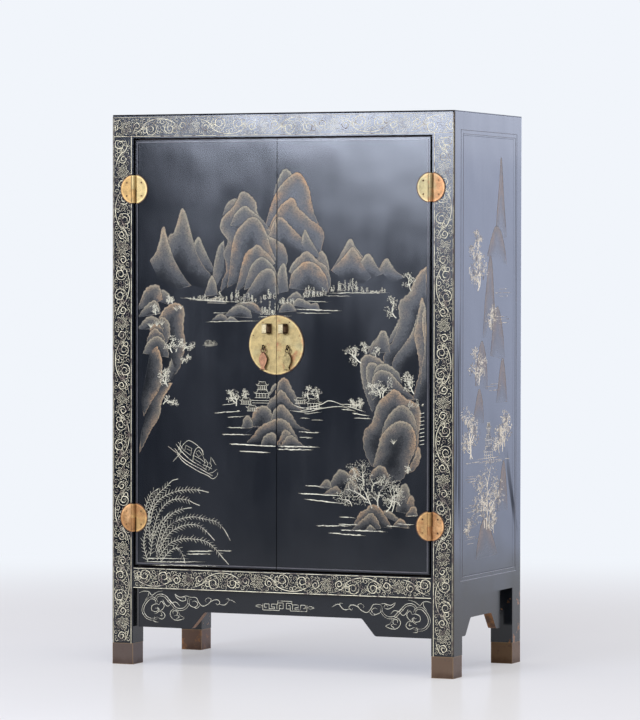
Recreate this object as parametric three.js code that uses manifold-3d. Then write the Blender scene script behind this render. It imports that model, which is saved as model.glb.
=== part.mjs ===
// Lacquered cabinet with two doors, four posts that run down to the floor, and brass fittings.
// Millimetres. X points to the right, Y to the back and Z up. The origin lies on the floor,
// in the middle of the width, and midway between the front of the lock staples and the back.

import * as THREE from 'three';
import { mergeVertices } from 'three/addons/utils/BufferGeometryUtils.js';
import Module from 'manifold-3d';

const wasm = await Module();
wasm.setup();

// Whole carcass, without the fittings on its front
const width = 780;
const depth = 395;
const height = 1168;

// Posts
const postWidth = 49;
const postDepth = 50;
const postEdgeRadius = 2.5;
const postEdgeSteps = 4;

// Rails between the posts
const topRailHeight = 50;
const bottomRailHeight = 45;
const floorToBottomRail = 163;

// Tenons of the rails
const tenonLength = 16;
const tenonThickness = 18;
const tenonSetback = 8;
const tenonShoulder = 9;

// Fits: glued or nailed faces, loose fits in wood, and how far a cutter passes a face
const seatGap = 0.2;
const play = 0.3;
const overrun = 1;

// Panels and boards held in grooves
const grooveDepth = 7;
const panelFace = 5;
const tongueThickness = 5;
const sidePanelReveal = 1.5;
const backPanelReveal = 6;
const boardReveal = 1;

// Doors
const doorThickness = 22;
const doorReveal = 1;
const doorSideGap = 5;
const doorEndGap = 4.5;
const meetingGap = 1.5;
const meetingOffset = -8;
const beadWidth = 3;
const beadHeight = 1;
const beadInset = 4;

// Stops, shelf and its bearers. The shelf's underside lies a little below the middle of the opening.
const stopDepth = 12;
const stopHeight = 10;
const doorRunningGap = 0.8;
const shelfDrop = 13;
const shelfThickness = 15;
const shelfSetback = 6;
const bearerHeight = 22;
const bearerThickness = 16;

// Aprons under the bottom rails
const apronSetback = 15;
const apronThickness = 18;
const apronEndDepth = 83;
const apronMiddleDepth = 47;
const apronSlopeRun = 30;
const apronCornerRadius = 4;
const frontSpandrel = 131;
const sideSpandrel = 57;
const frontApronShrinkage = 6;
const brokenRearLength = 34;

// Brass shoes
const shoeHeight = 45;
const shoeWall = 1.5;
const shoeInset = 0.4;

// Round hinges, placed from the two ends of the door opening
const hingeRadius = 32;
const leafThickness = 1.8;
const barrelRadius = 5;
const barrelStandoff = 0.3;
const barrelLength = 58;
const knuckleGap = 0.4;
const pinRadius = 2.4;
const pinClearance = 0.1;
const pinHeadRadius = 3.6;
const pinHeadHeight = 1.2;
const upperHingeDrop = 108;
const lowerHingeRise = 105;

// Round lock plate with its staples, a little above the middle of the doors
const lockRadius = 63;
const lockRise = 20;
const plateThickness = 1.8;
const plateHalfGap = 0.5;
const stapleOffset = 19;
const stapleRise = 34;
const stapleWidth = 10;
const stapleHeight = 20;
const stapleReach = 22;
const strapThickness = 3;
const stapleCornerRadius = 2.5;
const stapleLegLength = 13;

// Fish-shaped pulls, each hung by a bail in an eye
const pullOffset = 27.5;
const pullPivotDrop = 7;
const pullLength = 45;
const pullWidth = 19;
const pullThickness = 5;
const pullBevel = 1;
const pullBevelSteps = 2;
const bailRadius = 4.8;
const bailWireRadius = 1.3;
const bailSeat = 0.4;
const eyeRadius = 4.6;
const eyeWireRadius = 1.2;
const eyeStandoff = 0.6;
const eyeStemRadius = 1.6;
const eyeStemLength = 12;

// Fish outline from gill to tail: shares of the length below the bail, and of the half width
const fishOutlineShares = [
  [0, 0.2], [0.07, 0.46], [0.2, 0.8], [0.36, 1], [0.54, 0.9],
  [0.72, 0.56], [0.84, 0.36], [0.92, 0.44], [1, 0.72],
];
const tailNotchShare = 0.93;

// Steps round curves
const discSteps = 40;
const barrelSteps = 24;
const pinSteps = 24;
const wireSteps = 10;
const ringSteps = 20;
const cornerSteps = 3;
const fishSteps = 22;

// Places that follow from the sizes
const front = -depth / 2;
const rear = depth / 2;
const openingBottom = floorToBottomRail + bottomRailHeight;
const openingTop = height - topRailHeight;
const openingHeight = openingTop - openingBottom;
const openingMiddle = (openingBottom + openingTop) / 2;
const halfOpening = width / 2 - postWidth;
const sideSpan = depth - 2 * postDepth;
const doorFace = front + doorReveal;
const doorBack = doorFace + doorThickness;
const doorBottom = openingBottom + doorEndGap;
const doorTop = openingTop - doorEndGap;
const hingeX = halfOpening - doorSideGap / 2;
const hingeY = front - barrelRadius - barrelStandoff;
const upperHingeHeight = openingTop - upperHingeDrop;
const lowerHingeHeight = openingBottom + lowerHingeRise;
const lockHeight = openingMiddle + lockRise;
const shelfHeight = openingMiddle - shelfDrop;
const plateFront = doorFace - seatGap - plateThickness;
const lockReach = front - (plateFront - stapleReach);
const shoeInside = shoeInset + shoeWall + play;
const panelThickness = panelFace + tongueThickness;

// Finishes
const lacquer = new THREE.MeshStandardMaterial({ color: 0x24272c, roughness: 0.32, metalness: 0 });
const innerLacquer = new THREE.MeshStandardMaterial({ color: 0x3a2a22, roughness: 0.6, metalness: 0 });
const paleBrass = new THREE.MeshStandardMaterial({ color: 0xd3b878, roughness: 0.4, metalness: 0.9 });
const darkBrass = new THREE.MeshStandardMaterial({ color: 0x66564b, roughness: 0.55, metalness: 0.7 });
const copper = new THREE.MeshStandardMaterial({ color: 0xb9865f, roughness: 0.42, metalness: 0.85 });
const iron = new THREE.MeshStandardMaterial({ color: 0x3b302a, roughness: 0.6, metalness: 0.8 });

// Turns a closed geometry into a solid that can be joined and cut
function solid(geometry) {
  geometry.deleteAttribute('normal');
  geometry.deleteAttribute('uv');
  const merged = mergeVertices(geometry);
  const vertProperties = new Float32Array(merged.attributes.position.array);
  const triVerts = new Uint32Array(merged.index.array);
  return new wasm.Manifold(new wasm.Mesh({ numProp: 3, vertProperties, triVerts }));
}

// Turns a solid back into a geometry
function geometryOf(body) {
  const { vertProperties, triVerts } = body.getMesh();
  const geometry = new THREE.BufferGeometry();
  geometry.setAttribute('position', new THREE.BufferAttribute(new Float32Array(vertProperties), 3));
  geometry.setIndex(new THREE.BufferAttribute(new Uint32Array(triVerts), 1));
  geometry.computeVertexNormals();
  return geometry;
}

// A square-edged block between two limits along each axis, given in either order
function block(xs, ys, zs) {
  const sides = [xs, ys, zs].map(([a, b]) => Math.abs(b - a));
  const middles = [xs, ys, zs].map(([a, b]) => (a + b) / 2);
  return solid(new THREE.BoxGeometry(...sides).translate(...middles));
}

// An outline drawn in X and Z, given a thickness towards the front. bevel adds its own options.
function sawnToFront(shape, thickness, bevel = { bevelEnabled: false }) {
  const options = { depth: thickness, curveSegments: cornerSteps, ...bevel };
  const turn = new THREE.Matrix4().makeBasis(
    new THREE.Vector3(1, 0, 0),
    new THREE.Vector3(0, 0, 1),
    new THREE.Vector3(0, -1, 0),
  );
  return new THREE.ExtrudeGeometry(shape, options).applyMatrix4(turn);
}

// An outline drawn in Y and Z, given a thickness along X about its middle
function sawnAcross(shape, thickness) {
  const options = { depth: thickness, curveSegments: cornerSteps, bevelEnabled: false };
  const geometry = new THREE.ExtrudeGeometry(shape, options);
  const turn = new THREE.Matrix4().makeBasis(
    new THREE.Vector3(0, 1, 0),
    new THREE.Vector3(0, 0, 1),
    new THREE.Vector3(1, 0, 0),
  );
  return geometry.translate(0, 0, -thickness / 2).applyMatrix4(turn);
}

// An upright round bar between two heights
function uprightBar(radius, low, high, steps) {
  const bar = new THREE.CylinderGeometry(radius, radius, high - low, steps);
  return solid(bar.rotateX(Math.PI / 2).translate(0, 0, (low + high) / 2));
}

// A round bar along Y between two places
function barToFront(radius, low, high, steps) {
  const bar = new THREE.CylinderGeometry(radius, radius, high - low, steps);
  return solid(bar.translate(0, (low + high) / 2, 0));
}

// Hangs a named piece in its group
function piece(parent, name, body, finish, place = [0, 0, 0], turn = [0, 0, 0]) {
  const geometry = body.isBufferGeometry ? body : geometryOf(body);
  const mesh = new THREE.Mesh(geometry, finish);
  mesh.name = name;
  mesh.position.set(...place);
  mesh.rotation.set(...turn);
  parent.add(mesh);
  return mesh;
}

// One post, drawn from its outer corner. inX and inY are the ways to the inside, 1 or -1.
function post(inX, inY) {
  const outline = [[postWidth, 0], [postWidth, postDepth], [0, postDepth]];
  for (let step = 0; step <= postEdgeSteps; step += 1) {
    const angle = Math.PI + (Math.PI / 2) * (step / postEdgeSteps);
    const x = postEdgeRadius + postEdgeRadius * Math.cos(angle);
    const y = postEdgeRadius + postEdgeRadius * Math.sin(angle);
    outline.push([x, y]);
  }
  const shape = new THREE.Shape(outline.map(([x, y]) => new THREE.Vector2(x * inX, y * inY)));
  const shaftHeight = height - shoeHeight - seatGap;
  const shaft = new THREE.ExtrudeGeometry(shape, { depth: shaftHeight, bevelEnabled: false });
  let body = solid(shaft.translate(0, 0, height - shaftHeight));
  body = body.add(block(
    [inX * shoeInside, inX * (postWidth - shoeInside)],
    [inY * shoeInside, inY * (postDepth - shoeInside)],
    [shoeWall + seatGap, shoeHeight + overrun],
  ));
  const tenonNear = tenonSetback - play;
  const tenonFar = tenonSetback + tenonThickness + play;
  for (const [low, high] of [[floorToBottomRail, openingBottom], [openingTop, height]]) {
    const zs = [low + tenonShoulder - play, high - tenonShoulder + play];
    const deepX = postWidth - tenonLength - play;
    const deepY = postDepth - tenonLength - play;
    body = body.subtract(block(
      [inX * deepX, inX * (postWidth + overrun)], [inY * tenonNear, inY * tenonFar], zs,
    ));
    body = body.subtract(block(
      [inX * tenonNear, inX * tenonFar], [inY * deepY, inY * (postDepth + overrun)], zs,
    ));
  }
  const panelZ = [openingBottom, openingTop];
  body = body.subtract(block(
    tongueSpan(sidePanelReveal).map((x) => x * inX),
    [inY * (postDepth - grooveDepth), inY * (postDepth + overrun)],
    panelZ,
  ));
  if (inY < 0) {
    body = body.subtract(block(
      [inX * (postWidth - grooveDepth), inX * (postWidth + overrun)],
      tongueSpan(backPanelReveal).map((y) => y * inY),
      panelZ,
    ));
  }
  return body;
}

// Where a groove for a panel's tongue starts and ends, measured in from the outer face
function tongueSpan(reveal) {
  return [reveal + panelFace - play, reveal + panelThickness + play];
}

// A rail along X with its outer face at y = 0 and its underside at z = 0.
// panelReveal is null where no panel stands in the rail, and panelSide is 'under' or 'over'.
function rail(span, thickness, tall, panelReveal, panelSide) {
  const half = span / 2 - seatGap;
  let body = block([-half, half], [0, thickness], [0, tall]);
  body = body.add(block(
    [-half - tenonLength, half + tenonLength],
    [tenonSetback, tenonSetback + tenonThickness],
    [tenonShoulder, tall - tenonShoulder],
  ));
  const run = [-span / 2, span / 2];
  const [boardNear, boardFar] = tongueSpan(boardReveal);
  body = body.subtract(block(
    run, [thickness - grooveDepth, thickness + overrun], [tall - boardFar, tall - boardNear],
  ));
  if (panelReveal !== null) {
    const zs = panelSide === 'under' ? [-overrun, grooveDepth] : [tall - grooveDepth, tall + overrun];
    body = body.subtract(block(run, tongueSpan(panelReveal), zs));
  }
  return body;
}

// A panel with its face up at z = 0 and a tongue on each edge for the grooves round it
function floatingPanel(clearX, clearY) {
  const halfX = clearX / 2 - seatGap;
  const halfY = clearY / 2 - seatGap;
  const tongue = grooveDepth - play;
  const tongueZ = [-panelThickness, -panelFace];
  return block([-halfX, halfX], [-halfY, halfY], [-panelThickness, 0])
    .add(block([-clearX / 2 - tongue, clearX / 2 + tongue], [-halfY, halfY], tongueZ))
    .add(block([-halfX, halfX], [-clearY / 2 - tongue, clearY / 2 + tongue], tongueZ));
}

// An apron's outline: deep at both ends, shallow between them, with sloped shoulders.
// Its top edge lies along y = 0, and either end can stop short of its post.
function apronOutline(span, spandrel, shortStart, shortEnd) {
  const half = span / 2 - seatGap;
  const start = -half + shortStart;
  const end = half - shortEnd;
  const foot = half - spandrel;
  const shoulder = foot - apronSlopeRun;
  const corners = [
    [-foot, -apronEndDepth], [-shoulder, -apronMiddleDepth],
    [shoulder, -apronMiddleDepth], [foot, -apronEndDepth],
  ];
  const ends = [[start, -apronEndDepth], ...corners, [end, -apronEndDepth]];
  const shape = new THREE.Shape();
  shape.moveTo(start, 0);
  shape.lineTo(start, -apronEndDepth);
  for (let i = 1; i < ends.length - 1; i += 1) {
    const corner = new THREE.Vector2(...ends[i]);
    const before = new THREE.Vector2(...ends[i - 1]).sub(corner).setLength(apronCornerRadius).add(corner);
    const after = new THREE.Vector2(...ends[i + 1]).sub(corner).setLength(apronCornerRadius).add(corner);
    shape.lineTo(before.x, before.y);
    shape.quadraticCurveTo(corner.x, corner.y, after.x, after.y);
  }
  shape.lineTo(end, -apronEndDepth);
  shape.lineTo(end, 0);
  return shape;
}

function apron(span, spandrel, shortStart, shortEnd) {
  return sawnToFront(apronOutline(span, spandrel, shortStart, shortEnd), apronThickness);
}

// A folded brass shoe, open at the top, about the middle of its post
function shoe() {
  const halfX = postWidth / 2 - shoeInset;
  const halfY = postDepth / 2 - shoeInset;
  const inX = halfX - shoeWall;
  const inY = halfY - shoeWall;
  return block([-halfX, halfX], [-halfY, halfY], [0, shoeHeight])
    .subtract(block([-inX, inX], [-inY, inY], [shoeWall, shoeHeight + overrun]));
}

// One door about its hinge axis. side is -1 for the left door and 1 for the right.
function door(side) {
  const axisX = side * hingeX;
  const hingeEdge = side * (halfOpening - doorSideGap) - axisX;
  const meetingEdge = meetingOffset + side * (meetingGap / 2) - axisX;
  const face = doorFace - hingeY;
  const back = doorBack - hingeY;
  let body = block([hingeEdge, meetingEdge], [face, back], [doorBottom, doorTop]);
  const beadY = [face - beadHeight, face + overrun];
  const outerX = hingeEdge - side * beadInset;
  const uprightZ = [doorBottom + beadInset, doorTop - beadInset];
  body = body.add(block([outerX, outerX - side * beadWidth], beadY, uprightZ));
  for (const [edge, inward] of [[doorBottom, 1], [doorTop, -1]]) {
    const near = edge + inward * beadInset;
    body = body.add(block([outerX, meetingEdge], beadY, [near, near + inward * beadWidth]));
  }
  for (const z of [upperHingeHeight, lowerHingeHeight]) {
    const clear = barToFront(hingeRadius + play, face - beadHeight - overrun, face, discSteps);
    body = body.subtract(clear.translate([0, 0, z]));
  }
  const deep = face + stapleLegLength + play;
  const stapleX = meetingOffset + side * stapleOffset - axisX;
  for (const [low, high] of stapleLegHeights()) {
    body = body.subtract(block(
      [stapleX - stapleWidth / 2 - play, stapleX + stapleWidth / 2 + play],
      [face - beadHeight - overrun, deep],
      [lockHeight + stapleRise + low - play, lockHeight + stapleRise + high + play],
    ));
  }
  const stemX = meetingOffset + side * pullOffset - axisX;
  const hole = barToFront(eyeStemRadius + play, face - overrun, face + eyeStemLength + play, wireSteps);
  return body.subtract(hole.translate([stemX, 0, eyeHeight()]));
}

// The two legs of a staple, as heights about its middle
function stapleLegHeights() {
  const outer = stapleHeight / 2;
  const inner = outer - strapThickness;
  return [[-outer, -inner], [inner, outer]];
}

function pullPivotHeight() {
  return lockHeight - pullPivotDrop;
}

// The middle of an eye sits above the bail's wire, which rests in the bottom of the eye
function eyeHeight() {
  return pullPivotHeight() + eyeRadius - eyeWireRadius - bailWireRadius - bailSeat;
}

function pullPivotY() {
  return plateFront - eyeStandoff - eyeRadius - eyeWireRadius;
}

// Half of a round plate in X and Z about its centre, on the side given, from a straight edge outwards
function halfDisc(radius, side, edge) {
  const reach = Math.acos(edge / radius);
  const points = [];
  for (let step = 0; step <= discSteps; step += 1) {
    const angle = -reach + 2 * reach * (step / discSteps);
    points.push(new THREE.Vector2(side * radius * Math.cos(angle), radius * Math.sin(angle)));
  }
  return new THREE.Shape(points);
}

// One leaf of a round hinge about the hinge axis, with the knuckle that it is folded into.
// side is the side that the leaf lies on, and level is 1 for the upper knuckle and -1 for the lower.
function hingeLeaf(side, level, backY) {
  const edge = barrelRadius + knuckleGap;
  const plate = sawnToFront(halfDisc(hingeRadius, side, edge), leafThickness).translate(0, backY, 0);
  const low = level > 0 ? knuckleGap / 2 : -barrelLength / 2;
  const high = level > 0 ? barrelLength / 2 : -knuckleGap / 2;
  const strap = block([0, side * (edge + overrun)], [backY - leafThickness, backY], [low, high]);
  const fold = block([0, side * (barrelRadius / 2)], [0, backY], [low, high]);
  const knuckle = uprightBar(barrelRadius, low, high, barrelSteps);
  const bore = uprightBar(pinRadius + pinClearance, low - overrun, high + overrun, pinSteps);
  return solid(plate).add(strap).add(fold).add(knuckle).subtract(bore);
}

// The hinge pin with a peened head at each end
function hingePin() {
  const end = barrelLength / 2 + seatGap;
  const profile = [
    [0, -end - pinHeadHeight], [pinHeadRadius / 2, -end - pinHeadHeight], [pinHeadRadius, -end],
    [pinRadius, -end], [pinRadius, end], [pinHeadRadius, end],
    [pinHeadRadius / 2, end + pinHeadHeight], [0, end + pinHeadHeight],
  ];
  const lathe = new THREE.LatheGeometry(profile.map(([r, z]) => new THREE.Vector2(r, z)), pinSteps);
  return solid(lathe.rotateX(Math.PI / 2));
}

// Half of the lock plate about the point where the doors meet
function lockPlate(side) {
  let body = solid(sawnToFront(halfDisc(lockRadius, side, plateHalfGap), plateThickness));
  const through = [-plateThickness - overrun, overrun];
  const slotX = [side * stapleOffset - stapleWidth / 2 - play, side * stapleOffset + stapleWidth / 2 + play];
  for (const [low, high] of stapleLegHeights()) {
    body = body.subtract(block(slotX, through, [stapleRise + low - play, stapleRise + high + play]));
  }
  const hole = barToFront(eyeStemRadius + play, ...through, wireSteps);
  return body.subtract(hole.translate([side * pullOffset, 0, eyeHeight() - lockHeight]));
}

// A staple bent from flat bar, with its loop open sideways for the bar of a padlock.
// Its legs pass through the plate, whose front is at y = 0, into the door.
function staple() {
  const outer = stapleHeight / 2;
  const inner = outer - strapThickness;
  const legEnd = doorFace - plateFront + stapleLegLength;
  const nose = -stapleReach;
  const shape = new THREE.Shape();
  shape.moveTo(legEnd, -outer);
  shape.lineTo(legEnd, -inner);
  shape.lineTo(nose + strapThickness, -inner);
  shape.lineTo(nose + strapThickness, inner);
  shape.lineTo(legEnd, inner);
  shape.lineTo(legEnd, outer);
  shape.lineTo(nose + stapleCornerRadius, outer);
  shape.quadraticCurveTo(nose, outer, nose, outer - stapleCornerRadius);
  shape.lineTo(nose, -outer + stapleCornerRadius);
  shape.quadraticCurveTo(nose, -outer, nose + stapleCornerRadius, -outer);
  return sawnAcross(shape, stapleWidth);
}

// The eye that a pull hangs in: a ring that stands on edge, with a stem into the door
function pullEye() {
  const ring = new THREE.TorusGeometry(eyeRadius, eyeWireRadius, wireSteps, ringSteps);
  const stemEnd = doorFace + eyeStemLength - pullPivotY();
  const stem = barToFront(eyeStemRadius, eyeRadius, stemEnd, wireSteps);
  return solid(ring.rotateY(Math.PI / 2)).add(stem);
}

// A fish-shaped pendant below its bail. The bail's wire runs along X through the pivot.
function fishPull() {
  const top = -2 * bailRadius - bailWireRadius / 2;
  const bodyLength = pullLength + top;
  const edge = fishOutlineShares.map(([down, out]) => (
    new THREE.Vector2(out * (pullWidth / 2 - pullBevel), top - down * bodyLength)
  ));
  const flank = new THREE.SplineCurve(edge).getPoints(fishSteps);
  const shape = new THREE.Shape();
  shape.moveTo(flank[0].x, flank[0].y);
  flank.slice(1).forEach((point) => shape.lineTo(point.x, point.y));
  shape.lineTo(0, top - tailNotchShare * bodyLength);
  [...flank].reverse().forEach((point) => shape.lineTo(-point.x, point.y));
  const bevel = { bevelThickness: pullBevel, bevelSize: pullBevel, bevelSegments: pullBevelSteps };
  const flat = pullThickness - 2 * pullBevel;
  const fish = sawnToFront(shape, flat, bevel).translate(0, flat / 2, 0);
  const bail = new THREE.TorusGeometry(bailRadius, bailWireRadius, wireSteps, ringSteps);
  return solid(fish).add(solid(bail.rotateX(Math.PI / 2).translate(0, 0, -bailRadius)));
}

// The carcass: posts, shoes, rails, panels, shelf and aprons
function addCarcass(cabinet) {
  for (const [sideX, nameX] of [[-1, 'left'], [1, 'right']]) {
    for (const [sideY, nameY] of [[-1, 'front'], [1, 'rear']]) {
      const corner = [sideX * width / 2, sideY * depth / 2, 0];
      const middle = [sideX * (width - postWidth) / 2, sideY * (depth - postDepth) / 2, 0];
      piece(cabinet, `post_${nameY}_${nameX}`, post(-sideX, -sideY), lacquer, corner);
      piece(cabinet, `shoe_${nameY}_${nameX}`, shoe(), darkBrass, middle);
    }
  }
  const levels = [
    ['top', topRailHeight, openingTop, 'under'],
    ['bottom', bottomRailHeight, floorToBottomRail, 'over'],
  ];
  for (const [level, tall, z, panelSide] of levels) {
    const across = (reveal) => rail(2 * halfOpening, postDepth, tall, reveal, panelSide);
    const along = () => rail(sideSpan, postWidth, tall, sidePanelReveal, panelSide);
    piece(cabinet, `front_${level}_rail`, across(null), lacquer, [0, front, z]);
    piece(cabinet, `rear_${level}_rail`, across(backPanelReveal), lacquer, [0, rear, z], [0, 0, Math.PI]);
    piece(cabinet, `side_${level}_rail_left`, along(), lacquer, [-width / 2, 0, z], [0, 0, -Math.PI / 2]);
    piece(cabinet, `side_${level}_rail_right`, along(), lacquer, [width / 2, 0, z], [0, 0, Math.PI / 2]);
  }
  const sideX = width / 2 - sidePanelReveal;
  const sidePanel = () => floatingPanel(openingHeight, sideSpan);
  piece(cabinet, 'side_panel_left', sidePanel(), lacquer, [-sideX, 0, openingMiddle], [0, -Math.PI / 2, 0]);
  piece(cabinet, 'side_panel_right', sidePanel(), lacquer, [sideX, 0, openingMiddle], [0, Math.PI / 2, 0]);
  const backY = rear - backPanelReveal;
  const backPanel = floatingPanel(2 * halfOpening, openingHeight);
  piece(cabinet, 'back_panel', backPanel, lacquer, [0, backY, openingMiddle], [-Math.PI / 2, 0, 0]);
  const board = () => floatingPanel(2 * halfOpening, sideSpan);
  piece(cabinet, 'top_board', board(), lacquer, [0, 0, height - boardReveal]);
  piece(cabinet, 'floor_board', board(), innerLacquer, [0, 0, openingBottom - boardReveal]);
}

// The shelf on its two bearers, and the strips that the doors close against
function addInside(cabinet) {
  const shelfFront = doorBack + shelfSetback;
  const shelfBack = rear - backPanelReveal - panelThickness - seatGap;
  const bearerOut = halfOpening - seatGap;
  const bearerZ = [shelfHeight - bearerHeight, shelfHeight];
  for (const [side, name] of [[-1, 'left'], [1, 'right']]) {
    const xs = [side * bearerOut, side * (bearerOut - bearerThickness)];
    piece(cabinet, `shelf_bearer_${name}`, block(xs, [shelfFront, shelfBack], bearerZ), innerLacquer);
  }
  const shelfZ = [shelfHeight + seatGap, shelfHeight + seatGap + shelfThickness];
  piece(cabinet, 'shelf', block([-bearerOut, bearerOut], [shelfFront, shelfBack], shelfZ), innerLacquer);
  const stopY = [doorBack + doorRunningGap, doorBack + doorRunningGap + stopDepth];
  const topZ = [openingTop - seatGap - stopHeight, openingTop - seatGap];
  const bottomZ = [openingBottom + seatGap, openingBottom + seatGap + stopHeight];
  piece(cabinet, 'door_stop_top', block([-bearerOut, bearerOut], stopY, topZ), innerLacquer);
  piece(cabinet, 'door_stop_bottom', block([-bearerOut, bearerOut], stopY, bottomZ), innerLacquer);
}

// The aprons. The front one has shrunk from its left post, and the right one has lost its rear end.
function addAprons(cabinet) {
  const z = floorToBottomRail - seatGap;
  const inset = apronSetback + apronThickness;
  const frontApron = apron(2 * halfOpening, frontSpandrel, frontApronShrinkage, 0);
  piece(cabinet, 'front_apron', frontApron, lacquer, [0, front + inset, z]);
  const sideX = width / 2 - inset;
  const whole = apron(sideSpan, sideSpandrel, 0, 0);
  const broken = apron(sideSpan, sideSpandrel, 0, brokenRearLength);
  piece(cabinet, 'side_apron_left', whole, lacquer, [-sideX, 0, z], [0, 0, -Math.PI / 2]);
  piece(cabinet, 'side_apron_right', broken, lacquer, [sideX, 0, z], [0, 0, Math.PI / 2]);
}

// One door with everything that turns with it, and the hinge halves that stay on the post
function addDoor(cabinet, side, name) {
  const turning = new THREE.Group();
  turning.position.set(side * hingeX, hingeY, 0);
  cabinet.add(turning);
  piece(turning, `door_${name}`, door(side), lacquer);
  const leafOnDoor = doorFace - seatGap - hingeY;
  const leafOnPost = front - seatGap - hingeY;
  for (const [level, z] of [['upper', upperHingeHeight], ['lower', lowerHingeHeight]]) {
    const label = `hinge_${level}_${name}`;
    piece(turning, `${label}_door_leaf`, hingeLeaf(-side, 1, leafOnDoor), paleBrass, [0, 0, z]);
    const onPost = [side * hingeX, hingeY, z];
    piece(cabinet, `${label}_frame_leaf`, hingeLeaf(side, -1, leafOnPost), paleBrass, onPost);
    piece(cabinet, `${label}_pin`, hingePin(), iron, onPost);
  }
  const lock = new THREE.Group();
  lock.position.set(meetingOffset - side * hingeX, -hingeY, 0);
  turning.add(lock);
  const onPlate = [side * stapleOffset, plateFront, lockHeight + stapleRise];
  piece(lock, `lock_plate_${name}`, lockPlate(side), paleBrass, [0, doorFace - seatGap, lockHeight]);
  piece(lock, `staple_${name}`, staple(), paleBrass, onPlate);
  piece(lock, `pull_eye_${name}`, pullEye(), iron, [side * pullOffset, pullPivotY(), eyeHeight()]);
  piece(lock, `pull_${name}`, fishPull(), copper, [side * pullOffset, pullPivotY(), pullPivotHeight()]);
}

const group = new THREE.Group();
const cabinet = new THREE.Group();
cabinet.position.set(0, lockReach / 2, 0);
group.add(cabinet);
addCarcass(cabinet);
addInside(cabinet);
addAprons(cabinet);
addDoor(cabinet, -1, 'left');
addDoor(cabinet, 1, 'right');

export default group;
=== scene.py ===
# %% [markdown]
# # A black lacquer cabinet with gilt drawing and brass fittings
#
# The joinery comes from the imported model: posts, rails, doors, hinges and pulls already have their
# size and place. This lesson gives them their finish. It makes the lacquer, brass and gilding as
# node materials, and draws the ornament as thin raised strokes, as a gilder lays it on the lacquer.
# Units are metres, with Z up, X to the right and the doors facing -Y.

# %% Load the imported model
import math
import random

import bpy
import numpy as np
from mathutils import Matrix, Vector
from mathutils.geometry import delaunay_2d_cdt


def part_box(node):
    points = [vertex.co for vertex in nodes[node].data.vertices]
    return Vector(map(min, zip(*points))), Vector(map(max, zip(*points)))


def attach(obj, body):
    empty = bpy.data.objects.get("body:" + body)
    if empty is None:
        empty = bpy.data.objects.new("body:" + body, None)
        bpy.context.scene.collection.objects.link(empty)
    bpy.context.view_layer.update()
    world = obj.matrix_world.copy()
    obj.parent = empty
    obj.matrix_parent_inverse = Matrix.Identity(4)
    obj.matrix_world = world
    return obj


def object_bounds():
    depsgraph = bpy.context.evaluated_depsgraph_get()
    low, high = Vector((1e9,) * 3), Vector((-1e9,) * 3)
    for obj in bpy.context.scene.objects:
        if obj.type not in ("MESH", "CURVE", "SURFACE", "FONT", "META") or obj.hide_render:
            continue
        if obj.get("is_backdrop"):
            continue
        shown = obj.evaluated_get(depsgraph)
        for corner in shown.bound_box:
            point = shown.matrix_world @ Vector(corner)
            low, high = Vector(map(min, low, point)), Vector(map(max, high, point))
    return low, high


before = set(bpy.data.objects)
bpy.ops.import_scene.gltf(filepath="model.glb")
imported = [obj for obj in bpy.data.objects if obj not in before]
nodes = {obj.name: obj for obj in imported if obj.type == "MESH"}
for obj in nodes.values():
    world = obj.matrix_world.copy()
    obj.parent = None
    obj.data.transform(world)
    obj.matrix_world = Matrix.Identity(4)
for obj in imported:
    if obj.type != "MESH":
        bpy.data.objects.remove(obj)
cad_low, cad_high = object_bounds()
mm = 0.001
print("nodes:", len(nodes), "size:", [round(v, 3) for v in cad_high - cad_low])

# %% [markdown]
# ## The camera
#
# A long lens a good eight metres away gives the flat perspective of a saleroom picture. The camera
# looks down a little instead of using a shift, so it can be carried round the cabinet as it is.
# Its place was found by matching the corners of the case, and the lens is worked out for an upright
# picture, where the sensor's 36 mm lie along the height.

# %% Camera
PICTURE_HEIGHT = 720
SENSOR = 36.0
FOCAL_PIXELS = 3943.6
CAMERA_PLACE = (3.3307, -7.7188, 0.8468)
CAMERA_TURN = math.radians(23.273)
CAMERA_DIP = math.radians(1.357)
CAMERA_ROLL = math.radians(0.103)


def add_camera():
    """Adds the camera at its measured place and makes it the scene's camera."""
    data = bpy.data.cameras.new("camera")
    data.sensor_width = SENSOR
    data.lens = FOCAL_PIXELS / PICTURE_HEIGHT * SENSOR
    data.clip_end = 100.0
    camera = bpy.data.objects.new("camera", data)
    turn = Matrix.Rotation(CAMERA_TURN, 4, "Z") @ Matrix.Rotation(math.pi / 2 - CAMERA_DIP, 4, "X")
    camera.matrix_world = Matrix.Translation(CAMERA_PLACE) @ turn @ Matrix.Rotation(CAMERA_ROLL, 4, "Z")
    bpy.context.scene.collection.objects.link(camera)
    bpy.context.scene.camera = camera
    return camera


bpy.context.scene.view_settings.view_transform = "Standard"
print("lens:", round(add_camera().data.lens, 1), "mm")

# %% [markdown]
# ## Shader maths
#
# A finish is a little formula: so much base colour, darker where a noise is high, rougher where
# fingers have been. Written straight, each sum is a Math node and two links. The class below wraps
# an output socket, so that the formulas can be written as Python expressions, and its `node` method
# adds every other kind of node. Colours are blended with `mix`, as a Math node would turn them grey.


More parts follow.
